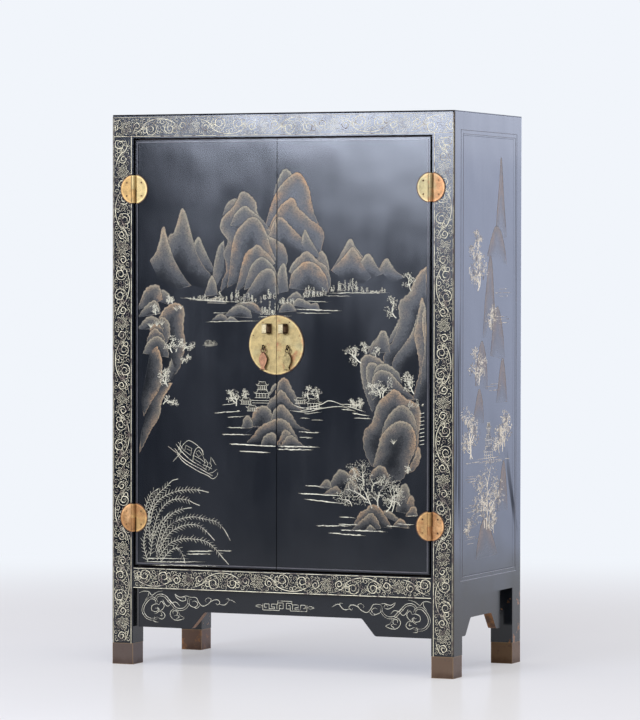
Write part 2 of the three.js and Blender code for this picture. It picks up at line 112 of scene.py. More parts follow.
# %% Shader maths
class Wire:
    """The output socket of a shader node. Sums of wires and numbers add Math nodes."""

    def __init__(self, socket):
        self.socket = socket

    def node(self, kind, settings, values, output=0):
        """Adds a node of a kind with its settings first, then its sockets' values or links."""
        tree = self.socket.id_data
        made = tree.nodes.new(kind)
        for name, setting in settings.items():
            setattr(made, name, setting)
        for name, value in values.items():
            if isinstance(value, Wire):
                tree.links.new(value.socket, made.inputs[name])
            else:
                made.inputs[name].default_value = value
        return Wire(made.outputs[output])

    def math(self, operation, *others):
        values = dict(enumerate((self, *others)))
        return self.node("ShaderNodeMath", {"operation": operation}, values)

    def __add__(self, other):
        return self.math("ADD", other)

    def __sub__(self, other):
        return self.math("SUBTRACT", other)

    def __mul__(self, other):
        return self.math("MULTIPLY", other)

    def __rsub__(self, other):
        return self * -1.0 + other

    __radd__, __rmul__ = __add__, __mul__

    def least(self, other):
        return self.math("MINIMUM", other)

    def most(self, other):
        return self.math("MAXIMUM", other)

    def ramp(self, low, high):
        """Rises smoothly from 0 at low to 1 at high, or falls if low is the larger."""
        limits = {"From Min": low, "From Max": high}
        settings = {"interpolation_type": "SMOOTHSTEP", "clamp": True}
        return self.node("ShaderNodeMapRange", settings, {"Value": self, **limits})

    def mix(self, start, end):
        """Blends two colours, with this wire as the share of the second."""
        settings = {"data_type": "RGBA", "clamp_factor": True}
        return self.node("ShaderNodeMix", settings, {0: self, 6: start, 7: end}, output=2)

    def shade(self, amount):
        """A colour times a value."""
        return self.node("ShaderNodeVectorMath", {"operation": "SCALE"}, {0: self, "Scale": amount})

    def stretch(self, x, y, z):
        """A place or direction with its axes stretched."""
        return self.node("ShaderNodeVectorMath", {"operation": "MULTIPLY"}, {0: self, 1: (x, y, z)})

    def axis(self, index):
        return self.node("ShaderNodeSeparateXYZ", {}, {0: self}, output=index)

    def noise(self, scale, detail=3.0, roughness=0.5):
        """A soft random value about 0.5, with features about 1/scale metres wide."""
        values = {"Vector": self, "Scale": scale, "Detail": detail, "Roughness": roughness}
        return self.node("ShaderNodeTexNoise", {}, values)

    def bump(self, height, strength=1.0, **over):
        """A normal for relief as high as this wire times height. Normal may give one to lay it over."""
        values = {"Height": self, "Distance": height, "Strength": strength, **over}
        return self.node("ShaderNodeBump", {}, values)


# %% Colours and materials
def colour(red, green, blue):
    """A colour given as it looks on screen, from 0 to 255, in the linear form that a shader takes."""
    shares = [value / 255 for value in (red, green, blue)]
    linear = [s / 12.92 if s <= 0.04045 else ((s + 0.055) / 1.055) ** 2.4 for s in shares]
    return (*linear, 1.0)


def new_finish(name):
    """Starts a material. Gives its Principled shader and a wire with the place on the cabinet."""
    material = bpy.data.materials.new(name)
    material.use_nodes = True
    shader = material.node_tree.nodes["Principled BSDF"]
    place = material.node_tree.nodes.new("ShaderNodeTexCoord").outputs["Object"]
    return material, shader, Wire(place)


def feed(shader, **wires):
    """Feeds the shader's sockets. Base_Color stands for Base Color."""
    for name, value in wires.items():
        socket = shader.inputs[name.replace("_", " ")]
        if isinstance(value, Wire):
            shader.id_data.links.new(value.socket, socket)
        else:
            socket.default_value = value


def normal(place):
    """Which way the skin looks, from the node that also gives its place."""
    return Wire(place.socket.node.outputs["Normal"])


def painted_tone(shader):
    """The tone that a stroke or wash was drawn with."""
    tone = shader.id_data.nodes.new("ShaderNodeAttribute")
    tone.attribute_name = "tone"
    return Wire(tone.outputs["Fac"])


def either_ray(tree, first, second):
    """1 for rays of two kinds, such as Camera and Glossy, and 0 for all others."""
    rays = tree.nodes.new("ShaderNodeLightPath").outputs
    return Wire(rays[f"Is {first} Ray"]).most(Wire(rays[f"Is {second} Ray"]))


def blend(share, first, second):
    """A mix of two shaders, with a number or wire as the share of the second."""
    return second.node("ShaderNodeMixShader", {}, {0: share, 1: first, 2: second})


def set_surface(material, surface):
    """Shows a shader on a material in place of its Principled one."""
    tree = material.node_tree
    tree.links.new(surface.socket, tree.nodes["Material Output"].inputs["Surface"])


def add_mesh(name, corners, faces, material):
    """Adds an object made of corners and faces in one material."""
    mesh = bpy.data.meshes.new(name)
    mesh.from_pydata(corners, [], faces)
    mesh.materials.append(material)
    made = bpy.data.objects.new(name, mesh)
    bpy.context.scene.collection.objects.link(made)
    return made


BLACK = colour(17, 20, 25)
print("black lacquer as a linear colour:", [round(c, 4) for c in BLACK])

# %% [markdown]
# ## Floor, backdrop and light
#
# Old lacquer is nearly black, so what the eye sees is mostly its gloss: the front mirrors a wide
# soft lamp across its upper half, and the side, seen at a low angle, mirrors the pale wall behind.
# The world is therefore painted by direction: bright to the back, dim on the camera's side. The
# camera itself sees one plain pale backdrop.

# %% World
BACKDROP = colour(241, 245, 251)
SOFT_LIGHT = colour(208, 203, 194)
BACK_WALL = colour(216, 226, 255)
DIM_ROOM = colour(60, 66, 80)


def add_world():
    """A pale backdrop for the camera, and for all else a room that is bright behind the cabinet."""
    world = bpy.data.worlds.new("studio")
    world.use_nodes = True
    tree = world.node_tree
    way = Wire(tree.nodes.new("ShaderNodeTexCoord").outputs["Generated"])
    behind = way.axis(1).ramp(-0.35, 0.75)
    above = way.axis(2).ramp(-0.06, 0.5)
    room = behind.mix(DIM_ROOM, BACK_WALL)
    wall = behind * way.axis(2).ramp(-0.16, 0.02) * way.axis(2).ramp(0.3, 0.14)
    lit = room.shade(above * 0.5 + wall * 1.55 + 1.05)
    soft = Wire(tree.nodes.new("ShaderNodeLightPath").outputs["Is Diffuse Ray"])
    shown = soft.mix(either_ray(tree, "Camera", "Transmission").mix(lit, BACKDROP), SOFT_LIGHT)
    tree.links.new(shown.socket, tree.nodes["Background"].inputs["Color"])
    bpy.context.scene.world = world


add_world()

# %% [markdown]
# A studio floor is a sheet that curves up into the wall, so that no line shows where they meet. Here
# a flat disc does it: toward its rim it takes on the backdrop's own colour. Near the feet it glows a
# little too, which keeps the shadows as faint as between large windows.

# %% Floor
FLOOR_RADIUS = 3.4
FLOOR_SIDES = 96
FLOOR_GLOSS = 0.07
FLOOR_GLOW = 0.42
FLOOR_PALE, FLOOR_DULL, FLOOR_LIT = colour(231, 229, 227), colour(222, 221, 220), colour(227, 227, 233)
FADE_FROM, FADE_TO = 1.0, FLOOR_RADIUS - 0.2


def floor_finish():
    """Pale floor with a faint gloss that shows the feet, and a glow that hides its rim."""
    material, shader, place = new_finish("pale_floor")
    feed(shader, Base_Color=place.noise(1.3, detail=4.0).mix(FLOOR_DULL, FLOOR_PALE))
    feed(shader, Roughness=0.9, Specular_IOR_Level=0.0)
    gloss = place.node("ShaderNodeBsdfGlossy", {}, {"Color": BACKDROP, "Roughness": 0.18})
    polished = blend(FLOOR_GLOSS, Wire(shader.outputs[0]), gloss)
    away = (place.axis(0) * place.axis(0) + place.axis(1) * place.axis(1)).math("SQRT")
    spread = away.ramp(FADE_FROM, FADE_TO)
    share = either_ray(material.node_tree, "Camera", "Glossy") * (spread * (1.0 - FLOOR_GLOW) + FLOOR_GLOW)
    glow = share.node("ShaderNodeEmission", {}, {"Color": spread.mix(FLOOR_LIT, BACKDROP), "Strength": 1.0})
    set_surface(material, blend(share, polished, glow))
    return material


def add_floor():
    """A round floor under the cabinet, which is scenery and no part of it."""
    turns = [2 * math.pi * index / FLOOR_SIDES for index in range(FLOOR_SIDES)]
    rim = [(FLOOR_RADIUS * math.cos(turn), FLOOR_RADIUS * math.sin(turn), 0.0) for turn in turns]
    floor = add_mesh("floor", rim, [tuple(range(FLOOR_SIDES))], floor_finish())
    floor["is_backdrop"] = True
    return floor


print("floor:", [round(v, 1) for v in add_floor().dimensions])

# %% Lamps
WHITE, COOL, COOL_BACK = (1.0, 1.0, 1.0), (0.85, 0.935, 1.14), (0.93, 0.95, 1.0)
MIDDLE = (cad_low + cad_high) / 2
# Each lamp: its place, what it shines at, its two sizes, its power and its tint
LAMPS = {
    "key_lamp": ((-1.1, -4.2, 1.58), (-0.6, 0.0, 1.58), (1.9, 0.56), 96.0, COOL),
    "low_key_lamp": ((-1.0, -4.2, 1.15), (-0.5, 0.0, 1.15), (1.1, 0.3), 7.0, COOL),
    "fill_lamp": ((1.6, -4.4, 2.9), MIDDLE, (2.2, 1.6), 52.0, WHITE),
    "back_lamp": ((2.1, 4.2, 2.6), MIDDLE, (3.0, 3.0), 22.0, COOL_BACK),
    "top_lamp": ((0.6, -1.4, 4.2), MIDDLE, (3.0, 3.0), 26.0, WHITE),
}


def add_lamp(name, place, target, size, power, tint):
    """A soft rectangular lamp that shines at a point and isn't seen by the camera."""
    data = bpy.data.lights.new(name, "AREA")
    data.shape = "RECTANGLE"
    data.size, data.size_y = size
    data.energy = power
    data.color = tint
    lamp = bpy.data.objects.new(name, data)
    lamp.location = place
    lamp.rotation_euler = (Vector(target) - Vector(place)).to_track_quat("-Z", "Y").to_euler()
    lamp.visible_camera = False
    bpy.context.scene.collection.objects.link(lamp)


for name, lamp in LAMPS.items():
    add_lamp(name, *lamp)
print("lamps:", list(LAMPS))

# %% [markdown]
# ## Lacquer
#
# Many thin coats, rubbed flat, leave a skin that is never quite level: a lamp's reflection wanders
# and blurs a little. So the gloss comes from a low roughness with slow clouds in it, and from a
# gentle bump. On arrises that hands and brooms touch, the black has worn to the brown undercoat.
# How near a point is to an arris follows from the box of the piece that it is on, so each piece
# gets its own lacquer with its box written in.

# %% Lacquer
SOFT_BLACK = colour(28, 31, 37)
UNDERCOAT = colour(66, 48, 38)
RAW_WOOD = colour(150, 100, 52)
DARK_WOOD = colour(62, 40, 26)
# Grey for the painted highlight along the doors' bead
BEAD_HIGHLIGHT_GREY = colour(116, 114, 120)
CASE_LOW, CASE_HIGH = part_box("post_front_left")[0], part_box("post_rear_right")[1]
FRAME = ("post", "top_rail", "bottom_rail")
# Each streak: how far behind the frame's face, half its width, its two heights, and its lean
STREAKS = ((0.022, 0.02, 0.33, 0.72, 0.0), (0.336, 0.014, 0.3, 0.44, 0.37))


def gap(place, axis, low, high):
    """How far a place lies outside the span between two corners along an axis, and less than 0 inside."""
    half, centre = (high[axis] - low[axis]) / 2, (high[axis] + low[axis]) / 2
    return (place.axis(axis) - centre).math("ABSOLUTE") - half


def edge_distance(place, low, high):
    """How far a point on a box's skin is from its nearest edge: the middle one of its three distances."""
    a, b, c = (gap(place, axis, low, high) for axis in range(3))
    return a.least(b).most(b.least(c)).most(c.least(a)) * -1.0


def lacquer(name, low, high):
    """Black lacquer for a box-shaped piece between two corners."""
    material, shader, place = new_finish(name)
    cloud = place.stretch(8.0, 8.0, 2.6).noise(1.0, detail=3.0, roughness=0.55)
    streak = place.stretch(60.0, 60.0, 3.0).noise(1.0, detail=2.0)
    speck = place.noise(420.0, detail=2.0)
    patchy = place.noise(38.0, detail=4.0, roughness=0.65)
    corners = (CASE_LOW, CASE_HIGH) if any(part in name for part in FRAME) else (low, high)
    rubbed = (edge_distance(place, *corners) + patchy * 0.007 - 0.0021).ramp(2.0 * mm, 0.6 * mm)
    tone = (cloud * 0.6 + streak * 0.4).mix(BLACK, SOFT_BLACK)
    tone = rubbed.mix(tone, UNDERCOAT)
    if "apron" in name:
        raw = normal(place).axis(2).ramp(-0.2, -0.45)
        wood = (patchy + speck * 0.3).ramp(0.45, 0.8).mix(DARK_WOOD, RAW_WOOD)
        tone, rubbed = raw.mix(tone, wood), rubbed.most(raw)
    if "door" in name:
        outer = low.x if "left" in name else high.x
        beside_edge = (place.axis(0) - outer).math("ABSOLUTE").least(place.axis(2) - low.z)
        beside_edge = beside_edge.least(high.z - place.axis(2))
        # Painted highlight: a thin grey line on the front of each door, where its raised bead catches the
        # light.
        bead_highlight = beside_edge.ramp(5.4 * mm, 4.6 * mm) * beside_edge.ramp(2.6 * mm, 3.4 * mm)
        bead_highlight = bead_highlight * normal(place).axis(1).ramp(-0.5, -0.9)
        tone = (bead_highlight * (patchy * 0.8 + 0.3)).mix(tone, BEAD_HIGHLIGHT_GREY)
    if "post_rear" in name:
        chipped = patchy.ramp(0.6, 0.66) * place.axis(2).ramp(0.19, 0.12)
        tone, rubbed = chipped.mix(tone, RAW_WOOD), rubbed.most(chipped)
    feed(shader, Base_Color=tone)
    feed(shader, Roughness=cloud.ramp(0.3, 0.75) * 0.1 + speck * 0.03 + rubbed * 0.25 + 0.115)
    slow = place.noise(9.0, detail=1.0) * 0.75 + streak * 0.05 + speck * 0.012
    rounded = edge_distance(place, CASE_LOW, CASE_HIGH).ramp(0.0, 3.4 * mm)
    feed(shader, Normal=rounded.bump(2.4 * mm, strength=1.0, Normal=slow.bump(2.0 * mm, strength=0.5)))
    if "post" in name or "side_panel" in name:
        dull_streaks(material, shader, place)
    return material


def dull_streaks(material, shader, place):
    """Dark upright streaks on the outer sides, where damp has taken the shine."""
    outward = normal(place).axis(0).math("ABSOLUTE").ramp(0.8, 0.95)
    thin = place.stretch(150.0, 150.0, 3.0).noise(1.0, detail=3.0).ramp(0.34, 0.54)
    share = 0.0
    for behind, half, low, high, lean in STREAKS:
        middle = (place.axis(2) - (low + high) / 2) * -lean + (CASE_LOW.y + behind)
        beside_middle = (place.axis(1) - middle).math("ABSOLUTE").ramp(half, half * 0.4)
        height = place.axis(2).ramp(low - 0.04, low + 0.06) * place.axis(2).ramp(high + 0.08, high - 0.12)
        share = beside_middle * height + share
    share = share * outward * thin * 0.8
    matt = share.node("ShaderNodeBsdfDiffuse", {}, {"Color": BLACK})
    set_surface(material, blend(share, Wire(shader.outputs[0]), matt))


def cover(node, material):
    """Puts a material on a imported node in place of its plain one."""
    target = nodes[node]
    target.data.materials.clear()
    target.data.materials.append(material)


OUTSIDE = ("post_", "door_left", "door_right", "front_", "rear_", "side_", "back_", "top_")
lacquered = [node for node in nodes if node.startswith(OUTSIDE)]
for node in lacquered:
    cover(node, lacquer("lacquer_" + node, *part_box(node)))
print("lacquered pieces:", len(lacquered))

# %% [markdown]
# ## The inside
#
# Nobody polishes the inside of a cupboard. Its shelf and floor got one thin brown coat, in which the
# grain of the wood still shows, so the noise is drawn out along the boards.

# %% Inside finish
def inside_lacquer():
    """One thin dull coat over the boards inside, with their grain just showing."""
    material, shader, place = new_finish("inside_lacquer")
    grain = place.stretch(3.0, 45.0, 45.0).noise(1.0, detail=5.0, roughness=0.65)
    dust = place.noise(14.0, detail=3.0)
    feed(shader, Base_Color=grain.mix(colour(44, 28, 22), colour(70, 45, 34)))
    feed(shader, Roughness=dust * 0.25 + 0.42)
    feed(shader, Normal=grain.bump(0.3 * mm, strength=0.6))
    return material


inside_coat = inside_lacquer()
inside = [node for node in nodes if node.startswith(("floor_board", "shelf", "door_stop"))]
for node in inside:
    cover(node, inside_coat)
print("inside pieces:", inside)

# %% [markdown]
# ## Brass
#
# The discs were cut from sheet, rubbed pale where fingers reach, and stained orange and grey where
# polish and damp stayed. The stains are noises of several sizes. Round each rim lies a dark line of
# painted shade, with a painted highlight just inside it. Both follow from the distance to the disc's
# own centre. Painted shadow lies on the plate behind each staple. The staples are bright in front and
# carry painted shade on their other sides, so their finish asks which way the metal looks.

# %% Metal with painted shade on its sides
def metal_with_shaded_sides(name, face, side, share=0.55):
    """Metal bright where it looks to the front, with painted shade on its other sides."""
    material, shader, place = new_finish(name)
    facing = normal(place).axis(1).ramp(-share, -0.95)
    fine = place.noise(420.0, detail=4.0, roughness=0.7)
    spots = place.noise(130.0, detail=3.0).ramp(0.5, 0.68)
    cells = {"Vector": place, "Scale": 330.0}
    cut = place.node("ShaderNodeTexVoronoi", {"feature": "DISTANCE_TO_EDGE"}, cells).ramp(0.16, 0.04)
    cloud = place.noise(90.0, detail=3.0)
    bright = (spots * 0.4).most(cut * 0.3).mix(face, side).shade(cloud * 1.6 + 0.3)
    # Faces that look away from the front take the second colour, a painted shade.
    feed(shader, Base_Color=(facing * (fine * 0.4 + 0.75)).mix(side, bright))
    feed(shader, Metallic=facing * 0.3 + 0.35)
    feed(shader, Roughness=fine * 0.2 + 0.36)
    feed(shader, Normal=(fine - cut + spots * 0.5).bump(0.3 * mm, strength=0.6))
    return material


# %% Brass
PALE_BRASS = colour(176, 154, 104)
GREEN_GREY = colour(170, 156, 114)
PINK_STAIN = colour(172, 120, 84)
# Brown for the real spots, and for the painted shade at the rims and behind the staples
BROWN_SPOTS_AND_SHADE = colour(78, 50, 30)
# Painted shade for the staples' sides
SHADED_SIDE_BRASS = colour(58, 38, 24)
RIM_SHADE_WIDTH = 1.8 * mm


def brass(name, centre, radius, base, stain, share=0.5, shadow_boxes=()):
    """Sheet brass on a disc. share is how much is stained; the last argument lists boxes on the plate that
    get painted shadow.
    """
    material, shader, place = new_finish(name)
    off_x = place.axis(0) - centre[0]
    off_z = place.axis(2) - centre[2]
    distance = (off_x * off_x + off_z * off_z).math("SQRT") * (1.0 / radius)
    blotch = place.noise(26.0, detail=4.0, roughness=0.6)
    fine = place.noise(160.0, detail=4.0, roughness=0.7)
    pits = place.noise(700.0, detail=2.0)
    stained = (blotch + fine * 0.3).ramp(0.86 - share * 0.4, 1.02 - share * 0.4)
    grey = place.noise(17.0, detail=2.0).ramp(0.55, 0.72)
    mottle = place.noise(75.0, detail=5.0, roughness=0.7)
    # Painted shade and highlight at the disc's edge: a dark line round the rim and a bright one just inside
    # it.
    line = RIM_SHADE_WIDTH / radius
    rim = (distance + fine * 0.03).ramp(1.015 - line * 1.3, 1.015 - line * 0.4)
    rim_highlight = (distance + fine * 0.03).ramp(1.015 - line * 3.4, 1.015 - line * 2.0)
    skin = stained.mix(grey.mix(base, GREEN_GREY), stain).shade(mottle * 1.7 + rim_highlight * 0.35 + 0.15)
    spots_and_shadow = (pits.ramp(0.62, 0.72) * 0.7).most(mottle.ramp(0.6, 0.7) * 0.4)
    # Painted shadow: the plate goes dark in the boxes behind the staples, where their sides and shadows lie.
    for shadow_low, shadow_high in shadow_boxes:
        outside = gap(place, 0, shadow_low, shadow_high).most(gap(place, 2, shadow_low, shadow_high))
        near = outside + fine * 0.004 - 0.002
        spots_and_shadow = spots_and_shadow.most(near.ramp(0.0025, -0.0015) * 0.92)
    feed(shader, Base_Color=rim.mix(spots_and_shadow.mix(skin, BROWN_SPOTS_AND_SHADE), BROWN_SPOTS_AND_SHADE))
    feed(shader, Metallic=0.65 - stained * 0.25 - rim * 0.4)
    feed(shader, Roughness=fine * 0.2 + stained * 0.12 + 0.42)
    relief = blotch * 0.8 + mottle * 0.5 + fine * 0.3 + pits * 0.06
    feed(shader, Normal=relief.bump(0.5 * mm, strength=0.7))
    return material


HINGE_STAINS = {
    "upper_left": (colour(196, 172, 118), colour(194, 156, 98), 0.25),
    "upper_right": (colour(198, 170, 122), colour(188, 138, 94), 0.35),
    "lower_left": (colour(184, 148, 94), colour(168, 122, 76), 0.55),
    "lower_right": (colour(178, 140, 90), colour(164, 116, 72), 0.6),
}
for corner, (base, stain, share) in HINGE_STAINS.items():
    pin_low, pin_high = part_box(f"hinge_{corner}_pin")
    centre = (pin_low + pin_high) / 2
    leaf_low, leaf_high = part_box(f"hinge_{corner}_door_leaf")
    radius = (leaf_high.z - leaf_low.z) / 2
    cover(f"hinge_{corner}_door_leaf", brass(f"brass_{corner}_door", centre, radius, base, stain, share))
    warm = brass(f"brass_{corner}_frame", centre, radius, stain, colour(206, 162, 112), share)
    cover(f"hinge_{corner}_frame_leaf", warm)

lock_low, lock_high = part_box("lock_plate_left")
lock_radius = (lock_high.z - lock_low.z) / 2
lock_centre = Vector((lock_high.x, lock_low.y, (lock_high.z + lock_low.z) / 2))
for side, share in (("left", 0.2), ("right", 0.55)):
    bar_low, bar_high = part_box(f"staple_{side}")
    # A box round each staple, a little wider to the right, where the plate gets painted shadow.
    staple_shadow = (bar_low - Vector((1.5, 0, 0)) * mm, bar_high + Vector((3.0, 0, 0)) * mm)
    plate = brass(f"brass_lock_{side}", lock_centre, lock_radius, PALE_BRASS, PINK_STAIN, share, [staple_shadow])
    cover(f"lock_plate_{side}", plate)
    cover(f"staple_{side}", metal_with_shaded_sides(f"brass_staple_{side}", colour(208, 192, 152), SHADED_SIDE_BRASS))
print("lock plate radius:", round(lock_radius / mm, 1), "mm")

# %% [markdown]
# ## Cast and forged fittings
#
# The two pulls are cast fishes, one of redder metal than the other, with dirt in their scales. They
# take the finish of the staples, bright in front with painted shade on their sides. Eyes and pins are
# forged iron, so a single noise between brown and near black is enough for them.

# %% Pulls, eyes and pins
def cast_brass(name, base, dark, shine):
    """Cast brass or iron, rubbed on its high places. shine is how metallic it looks."""
    material, shader, place = new_finish(name)
    blotch = place.noise(120.0, detail=4.0, roughness=0.6)
    fine = place.noise(600.0, detail=3.0)
    feed(shader, Base_Color=blotch.ramp(0.35, 0.65).mix(dark, base))
    feed(shader, Metallic=blotch * 0.2 + shine)
    feed(shader, Roughness=fine * 0.2 + 0.3)
    feed(shader, Normal=(blotch + fine * 0.3).bump(0.3 * mm, strength=0.6))
    return material


# The second colour of each pull is the painted shade on its sides.
cover("pull_left", metal_with_shaded_sides("pull_copper", colour(176, 128, 96), colour(64, 40, 28), 0.75))
cover("pull_right", metal_with_shaded_sides("pull_pale", colour(170, 152, 104), colour(64, 46, 30), 0.75))
iron = cast_brass("aged_iron", colour(70, 53, 40), colour(30, 23, 19), 0.55)
for node in nodes:
    if node.startswith("pull_eye") or node.endswith("_pin"):
        cover(node, iron)

# %% [markdown]
# ## Shoes
#
# Sheet brass was folded round each foot. Mops and damp have turned it brown, with rust along the
# floor and a rubbed line at the corners, and each foot has gone its own way, so each gets its own
# pair of colours.

# %% Shoes
SHOE_ARRIS = colour(150, 122, 86)


def shoe_brass(name, low, high, base, rust, share):
    """Brass sheet gone dark near the floor, with a rubbed arris and rusty mottling."""
    material, shader, place = new_finish(name)
    blotch = place.noise(45.0, detail=5.0, roughness=0.65)
    fine = place.noise(240.0, detail=3.0)
    height = place.axis(2)
    damp = (blotch * 0.03 + height).ramp(0.035, 0.008)
    mottled = (blotch + fine * 0.25).ramp(0.85 - share * 0.4, 1.0 - share * 0.4)
    rubbed = edge_distance(place, low, high).ramp(0.0016, 0.0004)
    skin = mottled.mix(base, rust)
    feed(shader, Base_Color=(rubbed * 0.6).mix((damp * 0.6).mix(skin, DARK_WOOD), SHOE_ARRIS))
    feed(shader, Metallic=0.75 - mottled * 0.4)
    feed(shader, Roughness=fine * 0.2 + damp * 0.15 + 0.38)
    feed(shader, Normal=(blotch + fine * 0.25).bump(0.4 * mm, strength=0.6))
    return material


SHOES = {
    "shoe_front_left": (colour(98, 84, 76), colour(76, 60, 52), 0.3),
    "shoe_front_right": (colour(104, 84, 68), colour(80, 62, 50), 0.3),
    "shoe_rear_left": (colour(98, 76, 62), colour(140, 92, 50), 0.5),
    "shoe_rear_right": (colour(112, 88, 66), colour(84, 62, 46), 0.4),
}
for node, (base, rust, share) in SHOES.items():
    cover(node, shoe_brass("brass_" + node, *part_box(node), base, rust, share))
print("shoes:", list(SHOES))

# %% [markdown]
# ## The gilder's brush
#
# The ornament is drawn with a fine brush in gold dust on sticky lacquer, so each line stands a hair
# proud, swells in the middle and runs out to a point. Here a stroke is a low ridge with a triangular
# section, closed at both ends, whose feet are sunk in the surface. Where it runs over the hills it
# gets upright sides as well, so that it stays clear of their sheets. A face carries the drawing's
# flat coordinates, in millimetres, out onto the cabinet.

# %% Faces and paths
FOOT = -0.05
LAYER = 0.009
TINY = 1e-9


class Face:
    """A flat face to draw on: where its zero lies, which way is right and which way is up."""

    def __init__(self, origin, right, up):
        self.origin = np.array(origin, float)
        self.right = np.array(right, float)
        self.up = np.array(up, float)
        self.out = np.cross(self.right, self.up)
        self.out /= np.linalg.norm(self.out)

    def lift(self, flat):
        """Turns rows of right, up and height, in millimetres, into places on the cabinet in metres."""
        axes = np.vstack([self.right, self.up, self.out])
        return self.origin + np.asarray(flat) @ axes * mm


def heading(angle):
    """A step of length 1 in a direction."""
    return np.array([math.cos(angle), math.sin(angle)])


def turned(angle):
    """The matrix that turns rows of right and up to the left by an angle."""
    return np.array([[math.cos(angle), math.sin(angle)], [-math.sin(angle), math.cos(angle)]])


def leftward(path):
    """A step of length 1 to the left at each point of a path."""
    ahead = np.gradient(path, axis=0)
    ahead /= np.maximum(np.linalg.norm(ahead, axis=1, keepdims=True), TINY)
    return np.column_stack([-ahead[:, 1], ahead[:, 0]])


def smooth(points, step=1.5):
    """A smooth line through a few points, with a new point about every step."""
    points = np.asarray(points, float)
    ends = np.vstack([2 * points[0] - points[1], points, 2 * points[-1] - points[-2]])
    parts = []
    for a, b, c, d in zip(ends, ends[1:], ends[2:], ends[3:]):
        count = max(1, math.ceil(np.linalg.norm(c - b) / step))
        t = np.linspace(0.0, 1.0, count, endpoint=False)[:, None]
        parts.append(0.5 * (2 * b + (c - a) * t + (2 * a - 5 * b + 4 * c - d) * t**2
                            + (3 * b - a - 3 * c + d) * t**3))
    return np.vstack([*parts, points[-1:]])


def curl(start, way, radius, turn, turns, tight, steps):
    """A tendril: it leaves a point in a direction and winds itself up, to the left if turn is 1."""
    total = 2 * math.pi * turns
    x, y = start
    path = [(x, y)]
    for index in range(steps):
        share = (index + 0.5) / steps
        angle, step = way + turn * total * share, radius * tight**share * total / steps
        x, y = x + step * math.cos(angle), y + step * math.sin(angle)
        path.append((x, y))
    return np.array(path)


# %% Brush
class Brush:
    """Collects strokes and washes on one face, between two limits to the left and right."""

    def __init__(self, face, left=-1e4, right=1e4):
        self.face, self.left, self.right = face, left, right
        self.corners, self.faces, self.tones, self.count = [], [], [], 0
        self.level = 0.0  # how high over the face it draws, in millimetres
        self.weight = 1.0  # how heavy its strokes are

    def add(self, flat, faces, tones):
        """Adds a closed shape: its rows of right, up and height, its faces and one tone for each row."""
        self.corners.append(flat)
        self.faces += [[self.count + corner for corner in face] for face in faces]
        self.tones.append(tones)
        self.count += len(flat)

    def stroke(self, path, width=1.1, tone=0.8, rise=0.17, ends=(0.45, 0.12)):
        """Lays one stroke along a path. ends says how wide it starts and stops, as shares."""
        path = np.asarray(path, float)
        inside = (path[:, 0] > self.left) & (path[:, 0] < self.right)
        for run in np.split(np.arange(len(path)), np.flatnonzero(np.diff(inside)) + 1):
            if inside[run[0]] and len(run) > 1:
                self.ridge(path[run], width, tone, rise, ends)

    def ridge(self, path, width, tone, rise, ends):
        """The stroke's solid: a section of left foot, ridge and right foot at each point."""
        count = len(path)
        along = np.linspace(0.0, 1.0, count)
        first = ends[0] + (1 - ends[0]) * along / 0.18
        last = ends[1] + (1 - ends[1]) * (1 - along) / 0.35
        swell = np.minimum(1.0, np.minimum(first, last))[:, None]
        half = leftward(path) * swell * width * self.weight / 2
        section = [(1, FOOT), (0, rise), (-1, FOOT)]
        if self.level > 0:
            shoulder = self.level - LAYER / 2
            section = [(1, FOOT), (1, shoulder), (0, self.level + rise), (-1, shoulder), (-1, FOOT)]
        size = len(section)
        rows = []
        for side, height in section:
            heights = height * (swell if side == 0 and self.level == 0 else np.ones((count, 1)))
            rows.append(np.hstack([path + half * side, heights]))
        rows = np.stack(rows, axis=1).reshape(-1, 3)
        last = size * (count - 1)
        faces = [tuple(reversed(range(size))), tuple(last + corner for corner in range(size))]
        for a in range(0, last, size):
            for corner in range(size):
                after = (corner + 1) % size
                faces.append((a + corner, a + after, a + size + after, a + size + corner))
        self.add(rows, faces, np.full(len(rows), tone))

    def dab(self, x, y, size, tone=0.8, angle=0.0, long=1.0, rise=0.2):
        """One touch of the brush: a small leaf-shaped pyramid."""
        size *= self.weight
        if not self.left + size * long < x < self.right - size * long:
            return
        rim = np.array([(-long, 0.0), (-0.3 * long, -0.5), (0.5 * long, -0.45),
                        (long, 0.0), (0.5 * long, 0.45), (-0.3 * long, 0.5)]) * size @ turned(angle) + (x, y)
        rings = [FOOT, self.level - LAYER / 2] if self.level > 0 else [FOOT]
        rows = np.vstack([*[np.column_stack([rim, np.full(6, height)]) for height in rings],
                          (x, y, self.level + rise)])
        upper, apex = len(rows) - 7, len(rows) - 1
        faces = [(upper + i, upper + (i + 1) % 6, apex) for i in range(6)] + [(5, 4, 3, 2, 1, 0)]
        if upper:
            faces += [(i, (i + 1) % 6, 6 + (i + 1) % 6, 6 + i) for i in range(6)]
        self.add(rows, faces, np.full(len(rows), tone))

    def line(self, start, end, width=1.1, tone=0.8, rise=0.15):
        """A ruled line, as wide at its ends as in its middle."""
        path = np.linspace(start, end, max(2, int(math.dist(start, end) / 8.0)))
        self.stroke(path, width, tone, rise, ends=(1.0, 1.0))

    def piece(self, name, material, body, slot):
        """Makes one mesh of all that was drawn, and hangs it on a body."""
        places = self.face.lift(np.vstack(self.corners))
        made = add_mesh(name, places.tolist(), self.faces, material)
        tones = made.data.attributes.new("tone", "FLOAT", "POINT")
        tones.data.foreach_set("value", np.concatenate(self.tones).astype(np.float32))
        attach(made, body)
        triangles = sum(len(face) - 2 for face in self.faces)
        print(name, "rides", body, "with", triangles, "triangles")


# %% [markdown]
# ## Gilding
#
# The gold is a pale cream where it lies thick. It has gone grey and pink where hands have worn it
# thin, so its colour follows the stroke's tone, and two noises break it up: a slow one for worn
# stretches and a fine one for grains of dust.

